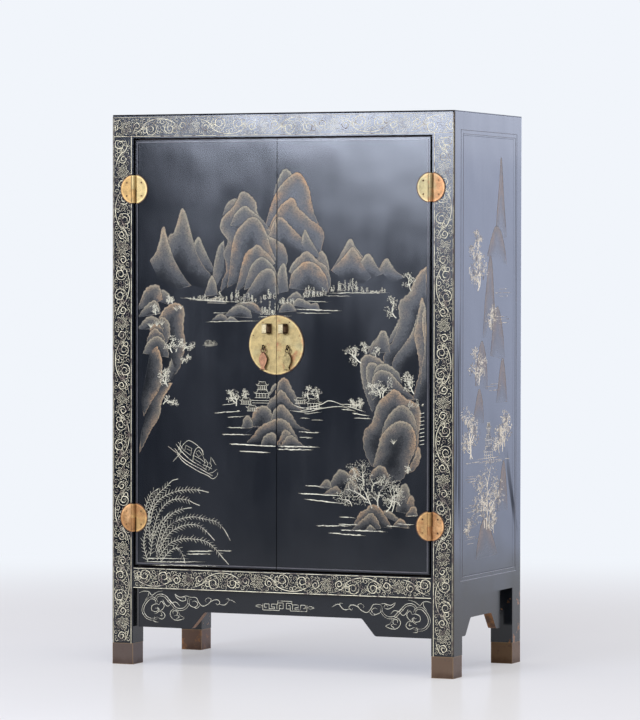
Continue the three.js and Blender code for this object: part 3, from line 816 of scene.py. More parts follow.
# %% Gilding
def gilding(name, bright, dull, worn, worn_share):
    """Gold dust in lacquer. Strokes of tone 1 are bright, of tone 0 dull, and both wear away in places."""
    material, shader, place = new_finish(name)
    grain = place.noise(1600.0, detail=2.0)
    patchy = place.noise(55.0, detail=4.0, roughness=0.7)
    lost = (patchy + grain * 0.25).ramp(0.72 - worn_share * 0.3, 0.86 - worn_share * 0.3)
    gold = (painted_tone(shader) + grain * 0.5 - 0.25).ramp(0.0, 1.0).mix(dull, bright)
    feed(shader, Base_Color=lost.mix(gold, worn))
    feed(shader, Metallic=0.35 - lost * 0.25)
    feed(shader, Roughness=grain * 0.2 + 0.4)
    feed(shader, Normal=(grain + patchy * 0.3).bump(0.12 * mm, strength=0.5))
    return material


# Each kind: the bright, the dull and the worn gold, and how much of it is worn
GOLDS = {
    "bands": (colour(230, 222, 194), colour(118, 108, 92), colour(120, 104, 96), 0.35),
    "doors": (colour(214, 209, 188), colour(104, 100, 92), colour(92, 88, 86), 0.2),
    "sides": (colour(240, 227, 200), colour(154, 140, 126), colour(110, 102, 100), 0.4),
}
golds = {kind: gilding("gilding_" + kind, *values) for kind, values in GOLDS.items()}

frame_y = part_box("post_front_left")[0].y


def front_face(y):
    """The upright face at a depth that looks to the front."""
    return Face((0.0, y, 0.0), (1, 0, 0), (0, 0, 1))


def box_mm(node):
    """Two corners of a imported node's box, in millimetres."""
    return [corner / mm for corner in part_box(node)]


front = front_face(frame_y)
print("frame's face at y:", round(frame_y / mm, 1), "mm")

# %% [markdown]
# ## Scroll bands
#
# A band of vine runs down each post and along both front rails, between two ruled lines. The pattern
# is the common one of its kind: a stem waves from rosette to rosette, a large tendril fills each
# valley, small ones fill the corners, and leaves like commas take up what black is left. One unit
# is drawn in the band's own directions, along and across, and every other unit is flipped.

# %% One unit of the scroll
UNIT = 160.0
HALF_BAND = 18.5
PETALS = 8
# Each tendril: where it leaves the stem, if backwards, its radius, its turn, how often and how tightly
TENDRILS = [
    (47, False, 18.0, 1, 2.1, 0.2), (113, True, 16.0, -1, 2.0, 0.2),
    (35, True, 11.5, 1, 1.8, 0.2), (125, False, 11.5, -1, 1.8, 0.2),
    (43, True, 6.0, -1, 1.2, 0.3), (117, False, 6.0, 1, 1.2, 0.3),
    (38, False, 8.0, 1, 1.5, 0.28), (122, True, 8.0, -1, 1.5, 0.28),
    (76, False, 5.5, 1, 1.3, 0.3), (88, True, 6.5, -1, 1.3, 0.3),
    (22, True, 4.0, 1, 1.1, 0.3), (138, False, 4.0, -1, 1.1, 0.3),
]


def rosette(radius, rng):
    """A flower of looped petals round a small spiral, as a list of path, width and tone."""
    strokes = []
    spin = rng.uniform(0.0, 1.0)
    for index in range(PETALS):
        way = heading(2 * math.pi * (index + spin) / PETALS)
        side = np.array([-way[1], way[0]])
        reach = radius * rng.uniform(0.85, 1.05)
        heart, belly = way * 3.4, way * reach * 0.55
        loop = [heart, belly + side * 3.4, way * reach, belly - side * 3.4, heart]
        strokes.append((smooth(loop), 1.05, 1.0))
        strokes.append((smooth([way * reach * 0.35, way * reach * 0.8]), 1.1, 1.0))
    strokes.append((curl((0.0, -2.6), 0.0, 2.8, 1, 1.2, 0.3, 14), 1.1, 1.0))
    return strokes


def fitted_curl(start, way, radius, *shape):
    """A curl, made smaller until it stays within the band."""
    path = curl(start, way, radius, *shape)
    while abs(path[:, 1]).max() > HALF_BAND - 0.6 and radius > 1.0:
        radius *= 0.93
        path = curl(start, way, radius, *shape)
    return path


def vine_unit():
    """The strokes of one unit of vine from a rosette to the next, along by across."""
    wave = HALF_BAND - 2.0

    def stem(s):
        swing = math.cos(2 * math.pi * s / UNIT)
        return np.array([s, wave * math.copysign(abs(swing) ** 0.55, swing)])

    def leave(s, back=False):
        ahead = stem(s + 0.5) - stem(s - 0.5)
        return math.atan2(ahead[1], ahead[0]) + (math.pi if back else 0.0)

    strokes = [(np.array([stem(s) for s in np.linspace(9, UNIT - 9, 80)]), 1.7, 1.1)]
    for side in (-1, 1):
        middle = UNIT / 2 + side * UNIT / 4
        for off in (3.2, -3.2):
            leaf = [stem(s) + (off, 0.0) for s in np.linspace(middle - 5, middle + 5, 12)]
            strokes.append((np.array(leaf), 1.2, 0.8))
    for s, back, radius, turn, turns, tight in TENDRILS:
        path = fitted_curl(stem(s), leave(s, back), radius, turn, turns, tight, 26)
        strokes.append((path, 1.45 if radius > 7 else 1.15, 1.05))
        if radius > 9:
            for place in (5, 8, 11, 15):
                tip, ahead = path[place], path[place + 1] - path[place]
                leaf = math.atan2(ahead[1], ahead[0]) - turn * 0.8
                strokes.append((fitted_curl(tip, leaf, 4.2, turn, 0.55, 0.5, 9), 1.2, 0.9))
    return strokes


# %% Whole bands
# The leaves that fill what is left: their radius and how often they turn
FILLERS = ((5.0, 1.2), (4.0, 1.1), (3.0, 0.9), (2.2, 0.5))


def band_strokes(length, first_flower, rng):
    """Every stroke of a vine along a band of a length, with rosettes from a first one on."""
    strokes = []
    taken = np.zeros((int(length) + 9, int(2 * HALF_BAND) + 9), bool)

    def cells(path):
        return np.round(path + (4.0, HALF_BAND + 4.0)).astype(int).T

    def lay(path, width, tone):
        path = path[(path[:, 0] > 1.0) & (path[:, 0] < length - 1.0)]
        if len(path) > 2:
            strokes.append((path, width, tone * rng.uniform(0.85, 1.05)))
            along, across = cells(path)
            for i in (-1, 0, 1):
                for j in (-1, 0, 1):
                    taken[along + i, across + j] = True

    vine = vine_unit()
    flip, flower = 1, first_flower - UNIT
    while flower < length:
        for path, width, tone in rosette(HALF_BAND - 2.5, rng):
            lay(path + (flower, 0.0), width, tone)
        for path, width, tone in vine:
            lay(path * (1, flip) + (flower, 0.0), width, tone)
        flower += UNIT
        flip = -flip
    for size, turns in FILLERS:
        shape = curl((0.0, 0.0), 0.0, size, 1, turns, 0.35, 6 + int(size * 2))
        for _ in range(int(length * 4)):
            angle, flipped = rng.uniform(0, 6.28), rng.choice([-1, 1])
            spot = (rng.uniform(2, length - 2), rng.uniform(1 - HALF_BAND, HALF_BAND - 1))
            leaf = shape * (1, flipped) @ turned(angle) + spot
            within = leaf[:, 0].min() > 1 and leaf[:, 0].max() < length - 1
            if within and abs(leaf[:, 1]).max() < HALF_BAND and not taken[tuple(cells(leaf))].any():
                lay(leaf, 1.05, 0.95)
    return strokes


def lay_band(brush, start, along, across, length, first_flower, rng):
    """Lays the vine along a band on a face, from a start, with its own directions."""
    start, along, across = (np.array(v, float) for v in (start, along, across))
    for path, width, tone in band_strokes(length, first_flower, rng):
        brush.stroke(start + path[:, :1] * along + path[:, 1:] * across, width, tone)


# %% [markdown]
# The posts carry the band upright, and each rail carries it level. Where the first rosette of each
# falls was measured, because the eye notices it. Ruled lines of several widths close the bands.

# %% Bands on the frame
post_low, post_high = box_mm("post_front_right")
top_low, top_high = box_mm("front_top_rail")
bottom_low, bottom_high = box_mm("front_bottom_rail")
shoe_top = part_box("shoe_front_left")[1].z / mm
INNER_LINE, OUTER_LINE, ARRIS_LINE = 44.3, 3.0, 0.9
BAND_MIDDLE = (INNER_LINE + OUTER_LINE - 0.6) / 2
POST_FLOWER, TOP_FLOWER, BOTTOM_FLOWER = 87, 28, 212


def draw_post_bands(rng):
    """The vine and the ruled lines on both posts."""
    foot, head = shoe_top + 2, top_low.z - 1
    rules = (
        (INNER_LINE, foot - 2, top_low.z + 3, 1.9, 0.75),
        (OUTER_LINE, foot - 2, top_high.z - 6, 1.3, 0.7),
        (ARRIS_LINE, foot + 4, top_high.z - 3, 0.9, 0.25),
    )
    for name, side in (("left", -1), ("right", 1)):
        brush = Brush(front)
        middle = side * (post_high.x - BAND_MIDDLE)
        lay_band(brush, (middle, foot), (0, 1), (-side, 0), head - foot, POST_FLOWER - foot, rng)
        for inset, start, end, width, tone in rules:
            edge = side * (post_high.x - inset)
            brush.line((edge, start), (edge, end), width, tone)
        brush.piece("gilt_band_post_" + name, golds["bands"], "carcass", "pale_brass")


def draw_rail_band(name, run, first_flower, upper, lower, rng):
    """The vine on a rail between two ruled lines. upper and lower are a line's height, width and tone."""
    brush = Brush(front)
    middle = (upper[0] + lower[0]) / 2
    lay_band(brush, (-run, middle), (1, 0), (0, 1), 2 * run, first_flower, rng)
    for height, width, tone in (upper, lower):
        brush.line((-run, height), (run, height), width, tone)
    brush.piece("gilt_band_" + name, golds["bands"], "carcass", "pale_brass")


def draw_bands():
    """The vine on both posts and both rails, as four pieces."""
    rng = random.Random(11)
    draw_post_bands(rng)
    upper, lower = (top_high.z - 6.0, 1.3, 0.6), (top_low.z + 3.9, 1.4, 0.85)
    draw_rail_band("top", post_high.x - 3, TOP_FLOWER, upper, lower, rng)
    upper, lower = (bottom_high.z - 2.6, 1.6, 0.8), (bottom_low.z + 1.4, 1.9, 0.9)
    run = post_low.x - 1
    draw_rail_band("bottom", run, run - BOTTOM_FLOWER, upper, lower, rng)


draw_bands()

# %% [markdown]
# ## Washes of dust for the hills
#
# A hill is drawn by its ridge alone. Wet lacquer is brushed along the ridge, dust is tapped on it
# through a quill, thickest at the edge and thinning inwards, and the rest is left nearly black, so
# each hill stands out against the dust of the one behind. The sheet below is filled with small
# triangles, and every corner knows how deep it lies under the ridge, as a share of the dust's reach.
# The round lumps and notches of rock are put on the ridge before the sheet is cut to it.

# %% Outlines of hills
HALO = 1.7


def beside(path, distance):
    """A path's twin at a distance to its left."""
    return path + leftward(path) * distance


def ridge_depth(spots, ridge):
    """The distance of each spot from a ridge line, in millimetres."""
    starts, spans = ridge[:-1], np.diff(ridge, axis=0)
    lengths = np.maximum((spans**2).sum(axis=1), TINY)
    offsets = spots[:, None, :] - starts[None]
    share = np.clip((offsets * spans).sum(axis=2) / lengths, 0.0, 1.0)
    return np.linalg.norm(offsets - share[..., None] * spans, axis=2).min(axis=1)


def clip_side(outline, limit, sign):
    """The part of an outline on one side of an upright line."""
    kept = []
    for a, b in zip(outline, np.roll(outline, -1, axis=0)):
        inside_a, inside_b = sign * (limit - a[0]) > 0, sign * (limit - b[0]) > 0
        if inside_a:
            kept.append(a)
        if inside_a != inside_b:
            kept.append(a + (b - a) * (limit - a[0]) / (b[0] - a[0]))
    return np.array(kept)


def lumpy(ridge, rng, size):
    """A ridge with round lumps between notches, as rock is drawn, and a little tremor of the hand."""
    steps = np.linalg.norm(np.diff(ridge, axis=0), axis=1)
    along = np.concatenate([[0.0], np.cumsum(steps)])
    phase, slow = rng.uniform(0, 6.28), rng.uniform(0, 6.28)
    turns = math.pi * along / rng.uniform(9.0, 15.0) + 1.4 * np.sin(along / 31.0 + slow) + phase
    lump = size * (np.abs(np.sin(turns)) - 0.5) + size * 0.6 * np.sin(along / 19.0 + phase)
    tremor = np.array([[rng.gauss(0.0, 0.3), rng.gauss(0.0, 0.3)] for _ in ridge])
    return ridge + leftward(ridge) * lump[:, None] + tremor


# %% Washes
GRID = 4.0
OCHRE_STEP = 10.0
DEEPEST = 8.0


def fill(outline, ridge, brush, rng):
    """Triangles that fill an outline, with the ridge and a loose grid of spots among their corners."""
    low, high = outline.min(axis=0), outline.max(axis=0)
    xs, zs = np.arange(low[0], high[0], GRID), np.arange(low[1], high[1], GRID)
    spots = [(x + rng.uniform(-1, 1), z + rng.uniform(-1, 1)) for x in xs for z in zs]
    spots = np.array(spots).reshape(-1, 2)
    deep = np.minimum(ridge_depth(spots, outline), ridge_depth(spots, ridge))
    shown = ridge[(ridge[:, 0] > brush.left + 0.2) & (ridge[:, 0] < brush.right - 0.2)]
    corners = [Vector(point) for point in np.vstack([outline, shown, spots[deep > GRID * 0.45]])]
    made = delaunay_2d_cdt(corners, [], [list(range(len(outline)))], 1, 1e-5)
    crossed = len(made[0]) > len(corners)
    return np.array([tuple(corner) for corner in made[0]]), [tuple(face) for face in made[2]], crossed


def add_wash(brush, ridge, ground, reach, ochre, rng, strict):
    """Fills the land under a ridge with a closed sheet. If strict, not where its outline crosses itself."""
    outer = beside(ridge, HALO)
    outline = np.vstack([outer, *[[spot] for spot in ground]])
    outline = clip_side(outline, brush.right, 1)
    outline = clip_side(outline, brush.left, -1) if len(outline) else outline
    if len(outline) < 3:
        return True
    if min(np.ptp(outline, axis=0)) < 1.0:
        return True
    flat, tops, crossed = fill(outline, ridge, brush, rng)
    if strict and crossed:
        return False
    count = len(flat)
    drop = np.clip((ridge[:, 1].max() - flat[:, 1]) / np.ptp(ridge[:, 1]), 0.0, 1.0)
    depth = ridge_depth(flat, ridge) / reach + drop**3 * 0.8
    depth[ridge_depth(flat, outer) < HALO * 0.4] = -0.5
    top = np.column_stack([flat, np.full(count, brush.level + LAYER / 3)])
    base = np.column_stack([flat, np.full(count, FOOT)])
    faces = tops + [tuple(count + corner for corner in reversed(face)) for face in tops]
    seams = dict.fromkeys(seam for face in tops for seam in zip(face, face[1:] + face[:1]))
    faces += [(b, a, a + count, b + count) for a, b in seams if (b, a) not in seams]
    tones = np.tile(np.minimum(depth, DEEPEST) + 1.0 + OCHRE_STEP * ochre, 2)
    brush.add(np.vstack([top, base]), faces, tones)
    return True


def lay_wash(brush, ridge, ground, reach, ochre, rng, size):
    """Lays a wash under a lumpy ridge, with smaller lumps where its line would cross itself."""
    for share in (1.0, 0.5, 0.0):
        if add_wash(brush, lumpy(ridge, rng, size * share), ground, reach, ochre, rng, share > 0):
            return


def draw_hills(brush, hills, seed, reach, size=1.5):
    """Draws hills from back to front. reach is how far dust goes in, size how lumpy the ridges are."""
    rng = random.Random(seed)
    for index, (ochre, points, *ground) in enumerate(hills):
        brush.level = index * LAYER
        lay_wash(brush, smooth(points, 2.0), ground, reach * rng.uniform(0.85, 1.2), ochre, rng, size)
    brush.level = 0.0


# %% Dust
GROUND_BLACK, GROUND_VEIL = colour(16, 19, 24), colour(52, 52, 50)


def dusted(name, low, high, warm, edge):
    """The finish of the washes. The tone holds ochre in tens and the depth, plus one, in the rest."""
    material, shader, place = new_finish(name)
    tone = painted_tone(shader)
    ochre = (tone * (1.0 / OCHRE_STEP)).math("FLOOR")
    depth = tone - ochre * OCHRE_STEP - 1.0
    slow = place.noise(45.0, detail=3.0, roughness=0.6)
    grain = place.noise(430.0, detail=3.0, roughness=0.8)
    inside = depth.ramp(-0.3, -0.08)
    thick = (depth + slow * 0.9 - 0.45).ramp(1.7, -0.3)
    patch = place.noise(24.0, detail=2.0).ramp(0.36, 0.62)
    grains = (grain * 3.4 + thick * 0.8 - 1.7).ramp(0.0, 1.0)
    rim = depth.ramp(0.15, 0.04) * (slow.ramp(0.35, 0.6) * 0.6 + 0.4)
    tip = (depth + slow * 1.2 - 0.6).ramp(0.85, -0.05)
    dust = (depth.ramp(0.5, 0.0) * 0.8 + rim * 0.2).mix(low, high)
    dust = (ochre * 0.12 * tip * (patch * 0.85 + 0.15) * (grain * 0.6 + 0.7)).mix(dust, warm)
    ground = (depth.ramp(2.0, 0.1) * inside * 0.45).mix(GROUND_BLACK, GROUND_VEIL)
    feed(shader, Base_Color=(inside * (thick * grains * 0.7 + rim * edge)).mix(ground, dust))
    feed(shader, Metallic=thick * 0.12)
    feed(shader, Roughness=thick * 0.3 + grain * 0.05 + 0.14)
    feed(shader, Normal=(grain * thick).bump(0.1 * mm, strength=0.4))
    return material


# Each wash: its low, its high and its warm dust, and how bright its edge is
hill_dust = dusted("dust_on_hills", colour(98, 95, 88), colour(151, 142, 119), colour(180, 139, 95), 0.3)
faded_dust = dusted("dust_on_sides", colour(128, 114, 108), colour(156, 134, 112), colour(176, 132, 94), 0.0)

# %% [markdown]
# ## Small things of the landscape
#
# The rest is brush play: a leaf is one dab, a tree is a forked trunk with heaps of leaves, water is
# a few strokes drawn level. Each motif is one function that takes its place and size, so that a new
# landscape can be composed of the same few.

# %% Trees, grass and water
SHORE_WEIGHT = 0.8
TUFT = 13.0
BARB = 13.0
REED_TONE = 0.8


def leaves(brush, x, z, radius, count, rng, tone, size):
    """A heap of leaf dabs that point out from its middle."""
    for _ in range(count):
        angle, far = rng.uniform(0, 2 * math.pi), math.sqrt(rng.uniform(0.0, 1.0))
        spot_x, spot_z = x + radius * far * math.cos(angle), z + radius * 0.75 * far * math.sin(angle)
        brush.dab(spot_x, spot_z, size * rng.uniform(0.6, 1.2), tone * rng.uniform(0.45, 1.1),
                  angle + rng.uniform(-0.9, 0.9), 1.7)


def twig(brush, start, aim, length, width, rng, tone):
    """One wavering branch. Gives the five points that it was drawn through."""
    bend = rng.uniform(-0.5, 0.5)
    path = [np.array(start, float)]
    for step in range(4):
        way = aim + bend * (step - 1) + rng.uniform(-0.15, 0.15)
        path.append(path[-1] + length / 4 * heading(way))
    brush.stroke(smooth(path, 2.0), width, tone, ends=(1.0, 0.3))
    return path


def tree(brush, x, z, height, lean, rng, tone=0.85, crown=1.0, leaf=1.15):
    """A trunk with branches to both sides and a heap of leaves on each."""
    trunk = twig(brush, (x, z), math.pi / 2 + lean, height * 0.75, height * 0.035 + 0.9, rng, tone)
    for share, turn in ((1, 0.9), (2, -0.9), (2, 1.1), (3, -0.7), (4, 0.35), (4, -0.35)):
        reach = height * rng.uniform(0.2, 0.36)
        tips = twig(brush, trunk[share], math.pi / 2 + lean + turn, reach, height * 0.015 + 0.7, rng, tone)
        count = int((6 + height * 0.2) * crown)
        leaves(brush, *tips[-1], height * 0.15 * crown + 2.2, count, rng, tone, leaf)


def thicket(brush, start, end, height, count, seed):
    """A row of small trees and bushes along a line, of uneven height."""
    rng = random.Random(seed)
    for index in range(count):
        share = (index + rng.uniform(0.1, 0.9)) / count
        x, z = start[0] + (end[0] - start[0]) * share, start[1] + (end[1] - start[1]) * share
        tall = height * rng.choice([0.35, 0.5, 0.75, 1.0]) * rng.uniform(0.85, 1.15)
        tone = rng.uniform(0.5, 0.95)
        twig(brush, (x, z), math.pi / 2 + rng.uniform(-0.3, 0.3), tall, 0.9, rng, tone)
        for level in range(max(2, int(tall / 2.6))):
            share = (level + 0.7) / max(2, int(tall / 2.6))
            leaves(brush, x, z + tall * share, 3.4 * (1.3 - share), 4, rng, tone, 1.0)


def water(brush, left, right, z):
    """Three level strokes of water, the middle one the longest. Their height starts the chances."""
    rng = random.Random(z)
    for row in range(3):
        shrink = abs(row - 1.0) / 3
        x = left + (right - left) * shrink * rng.uniform(0.2, 0.9)
        stop = right - (right - left) * shrink * rng.uniform(0.2, 0.9)
        height = z - row * rng.uniform(4.2, 8.0)
        while x < stop - 6:
            end = min(stop, x + rng.uniform(9, 56))
            path = [(x, height), ((x + end) / 2, height + rng.uniform(-0.7, 0.7)), (end, height)]
            width, tone = rng.uniform(0.8, 2.1), 0.6 * rng.uniform(0.45, 1.0)
            brush.stroke(smooth(path, 4.0), width, tone, ends=(0.1, 0.05))
            x = end + rng.uniform(-9, 12)


def shore(brush, left, low, right, high, weight, rng):
    """One ragged line of shore between two points."""
    count = max(3, int((right - left) / 7.0))
    weight = weight * SHORE_WEIGHT
    xs, zs = np.linspace(left, right, count), np.linspace(low, high, count)
    path = np.array([(x, z + rng.gauss(0.0, 0.35)) for x, z in zip(xs, zs)])
    tone = rng.uniform(0.75, 1.0)
    brush.stroke(smooth(path, 3.0), weight, tone, ends=(0.1, 0.05))
    for _ in range(count):
        share = rng.uniform(0.05, 0.9)
        x, z = left + (right - left) * share, low + (high - low) * share + rng.gauss(0.0, 0.6)
        brush.dab(x, z, weight * rng.uniform(0.5, 0.9), tone, rng.uniform(-0.1, 0.1), rng.uniform(2.0, 4.0))


def tuft(brush, x, z, rng):
    """A spray of grass."""
    for index in range(6):
        way = math.pi / 2 + (index - 2.5) * 0.3 + rng.uniform(-0.1, 0.1)
        tip = np.array([x, z]) + TUFT * rng.uniform(0.7, 1.1) * heading(way)
        middle = tip * 0.5 + np.array([x, z + TUFT * 0.15]) * 0.5
        brush.stroke(smooth([(x, z), middle, tip], 2.5), 0.9, 0.8)


def reed(brush, path, rng):
    """An arching stem with short barbs to both sides, and a feathery head."""
    path = smooth(path, 2.0)
    brush.stroke(path, 1.0, REED_TONE, ends=(1.0, 0.5))
    ahead = np.gradient(path, axis=0)
    ways = [math.atan2(z, x) for x, z in ahead]
    head = int(len(path) * 0.86)
    for index in range(2, head, 4):
        for turn in (0.8, -0.85):
            long = BARB * (1.0 - 0.4 * index / len(path)) * rng.uniform(0.6, 1.2)
            tip = path[index] + long * heading(ways[index] + turn)
            barb = smooth([path[index], (path[index] + tip) / 2 + (0.0, 0.5), tip], 3.0)
            brush.stroke(barb, 0.85, REED_TONE * rng.uniform(0.7, 1.1), ends=(0.6, 0.3))
    for index in range(head, len(path)):
        brush.dab(*path[index], 1.5, REED_TONE, ways[index], 1.5)


# %% [markdown]
# Houses and boats are ruled more firmly. A roof is two curved eaves with a ridge between, over a
# row of posts. The boat is seen from the bank, with a hooped cabin amidships and a mat laid over
# the stern.

# %% Pavilions and boats
def roof(brush, x, z, half, height, tone):
    """A hipped roof with upturned eaves, and its tiles in a few strokes."""
    top = half * 0.55
    eave = [(-half - 3, 3.5), (-half, 0.0), (0.0, -0.6), (half, 0.0), (half + 3, 3.5)]
    brush.stroke(smooth(np.array(eave) + (x, z), 2.5), 1.2, tone, ends=(0.3, 0.3))
    for side in (-1, 1):
        hip = [(side * top, height), (side * half * 0.8, height * 0.3), (side * (half + 2), 2.0)]
        brush.stroke(smooth(np.array(hip) + (x, z), 2.5), 1.1, tone)
    crest = [(-top - 2, height + 1.6), (0.0, height), (top + 2, height + 1.6)]
    brush.stroke(smooth(np.array(crest) + (x, z), 2.5), 1.2, tone)
    for share in np.linspace(-0.7, 0.7, 6):
        tile = np.array([(x + share * half, z + 0.8), (x + share * top, z + height - 1)])
        brush.stroke(tile, 0.8, tone * 0.8)


def pavilion(brush, x, z, half, floors, tone, tall):
    """A house of one or more floors, open between its posts."""
    wall, rise = half * 0.55 * tall, half * 0.42 * tall
    for floor in range(floors):
        wide = half * (1 - 0.3 * floor)
        for share in np.linspace(-0.8, 0.8, 5):
            brush.line((x + share * wide, z), (x + share * wide, z + wall), 1.0, tone)
        brush.line((x - wide, z), (x + wide, z), 1.1, tone)
        brush.line((x - wide * 0.8, z + wall * 0.4), (x + wide * 0.8, z + wall * 0.4), 0.8, tone * 0.8)
        roof(brush, x, z + wall, wide, rise, tone)
        z += wall + rise


# Each line of the boat: its width, and its points as shares of the length
BOAT_LINES = [
    (1.3, [(-0.36, -0.11), (-0.16, -0.17), (0.05, -0.17), (0.24, -0.16), (0.43, -0.13), (0.55, -0.13),
           (0.6, -0.03), (0.58, 0.03)]),
    (1.3, [(-0.46, -0.04), (-0.24, -0.11), (-0.03, -0.12), (0.21, -0.1), (0.4, -0.09), (0.52, -0.08)]),
    (1.2, [(-0.42, 0.03), (-0.23, -0.03), (-0.02, -0.06), (0.18, -0.05), (0.35, -0.05)]),
    (1.1, [(-0.34, 0.11), (-0.29, 0.24), (-0.18, 0.27), (-0.03, 0.26), (0.09, 0.23), (0.14, 0.15)]),
    (1.1, [(0.01, -0.07), (-0.05, 0.09), (-0.05, 0.22), (0.03, 0.25), (0.14, 0.18)]),
    (0.9, [(-0.28, 0.14), (-0.14, 0.15), (-0.09, 0.02), (-0.25, 0.03), (-0.28, 0.14)]),
    (0.8, [(-0.23, 0.09), (-0.13, 0.1)]),
    (0.9, [(-0.03, 0.13), (0.01, 0.2), (0.11, 0.16), (0.07, 0.09), (-0.02, 0.12)]),
    (1.0, [(-0.05, 0.05), (0.11, 0.07), (0.27, 0.06)]), (0.9, [(0.0, 0.0), (0.18, 0.0)]),
    (0.9, [(-0.61, -0.08), (-0.45, -0.09), (-0.27, -0.1)]),
    (0.9, [(-0.36, -0.28), (-0.34, -0.2), (-0.31, -0.08)]),
    (1.0, [(-0.48, 0.05), (-0.38, 0.01), (-0.28, -0.04)]),
    (1.0, [(-0.46, 0.11), (-0.36, 0.07), (-0.26, 0.02)]),
    (1.0, [(-0.42, 0.16), (-0.38, 0.05), (-0.38, -0.04)]),
    (1.0, [(-0.34, 0.15), (-0.34, 0.03), (-0.31, -0.08)]),
    (1.0, [(0.15, 0.14), (0.23, 0.08), (0.26, -0.02)]),
    (1.0, [(0.21, 0.12), (0.31, 0.08), (0.32, -0.04)]), (1.0, [(0.32, 0.11), (0.4, 0.08), (0.39, -0.03)]),
    (1.0, [(0.22, 0.0), (0.34, 0.02), (0.44, 0.03)]),
    (0.9, [(0.37, 0.09), (0.3, 0.22), (0.37, 0.19), (0.47, 0.14)]),
    (0.9, [(0.42, -0.08), (0.49, -0.02), (0.53, 0.08)]),
]


def boat(brush, x, z, length, tilt, tone):
    """A river boat with a hooped cabin, tilted as it lies in the stream."""
    for width, points in BOAT_LINES:
        path = np.array(points) @ (turned(tilt) * length) + (x, z)
        line = smooth(path, 2.0) if width > 1.0 else path
        brush.stroke(line, width * max(0.6, length / 110), tone, ends=(0.6, 0.6))


# %% [markdown]
# ## The landscape on the doors
#
# One picture runs over both doors, so it is drawn twice with the same hand, once for each door,
# and each brush keeps only what falls on its own leaf. Mountains stand in the middle above the lock,
# cliffs hang in from both sides, an island with pavilions lies below, and boats and reeds leave the
# black between as water. All of it is common stock of the craft.

# %% Hills of the landscape
# Each hill: how warm its dust is, its ridge from left to right, and where its ground turns
FAR_PEAKS = [
    (1, [(-202, 890), (-195, 902), (-188, 909), (-181, 896), (-171, 873), (-162, 856), (-153, 839)],
         (-167, 831), (-190, 856)),
    (3, [(-262, 896), (-255, 913), (-248, 915), (-244, 921), (-237, 942), (-230, 964), (-225, 968),
         (-218, 955), (-211, 932), (-204, 907), (-195, 879), (-185, 858), (-174, 841), (-162, 829)],
         (-176, 801), (-222, 810), (-253, 856)),
    (3, [(-302, 858), (-288, 875), (-279, 900), (-274, 924), (-269, 930), (-265, 917), (-257, 890),
         (-248, 864), (-234, 839), (-220, 820), (-206, 805)], (-241, 797), (-283, 822)),
    (2, [(119, 842), (131, 861), (142, 881), (158, 904), (169, 887), (187, 865)], (162, 827)),
    (6, [(115, 838), (128, 850), (144, 867), (162, 887), (173, 877), (182, 865), (196, 846), (214, 830)],
         (185, 811), (144, 819)),
    (1, [(182, 856), (191, 869), (200, 873), (209, 863), (220, 844), (234, 832)], (207, 823)),
    (3, [(223, 840), (232, 857), (241, 863), (249, 852), (261, 836), (281, 824)], (252, 815)),
]
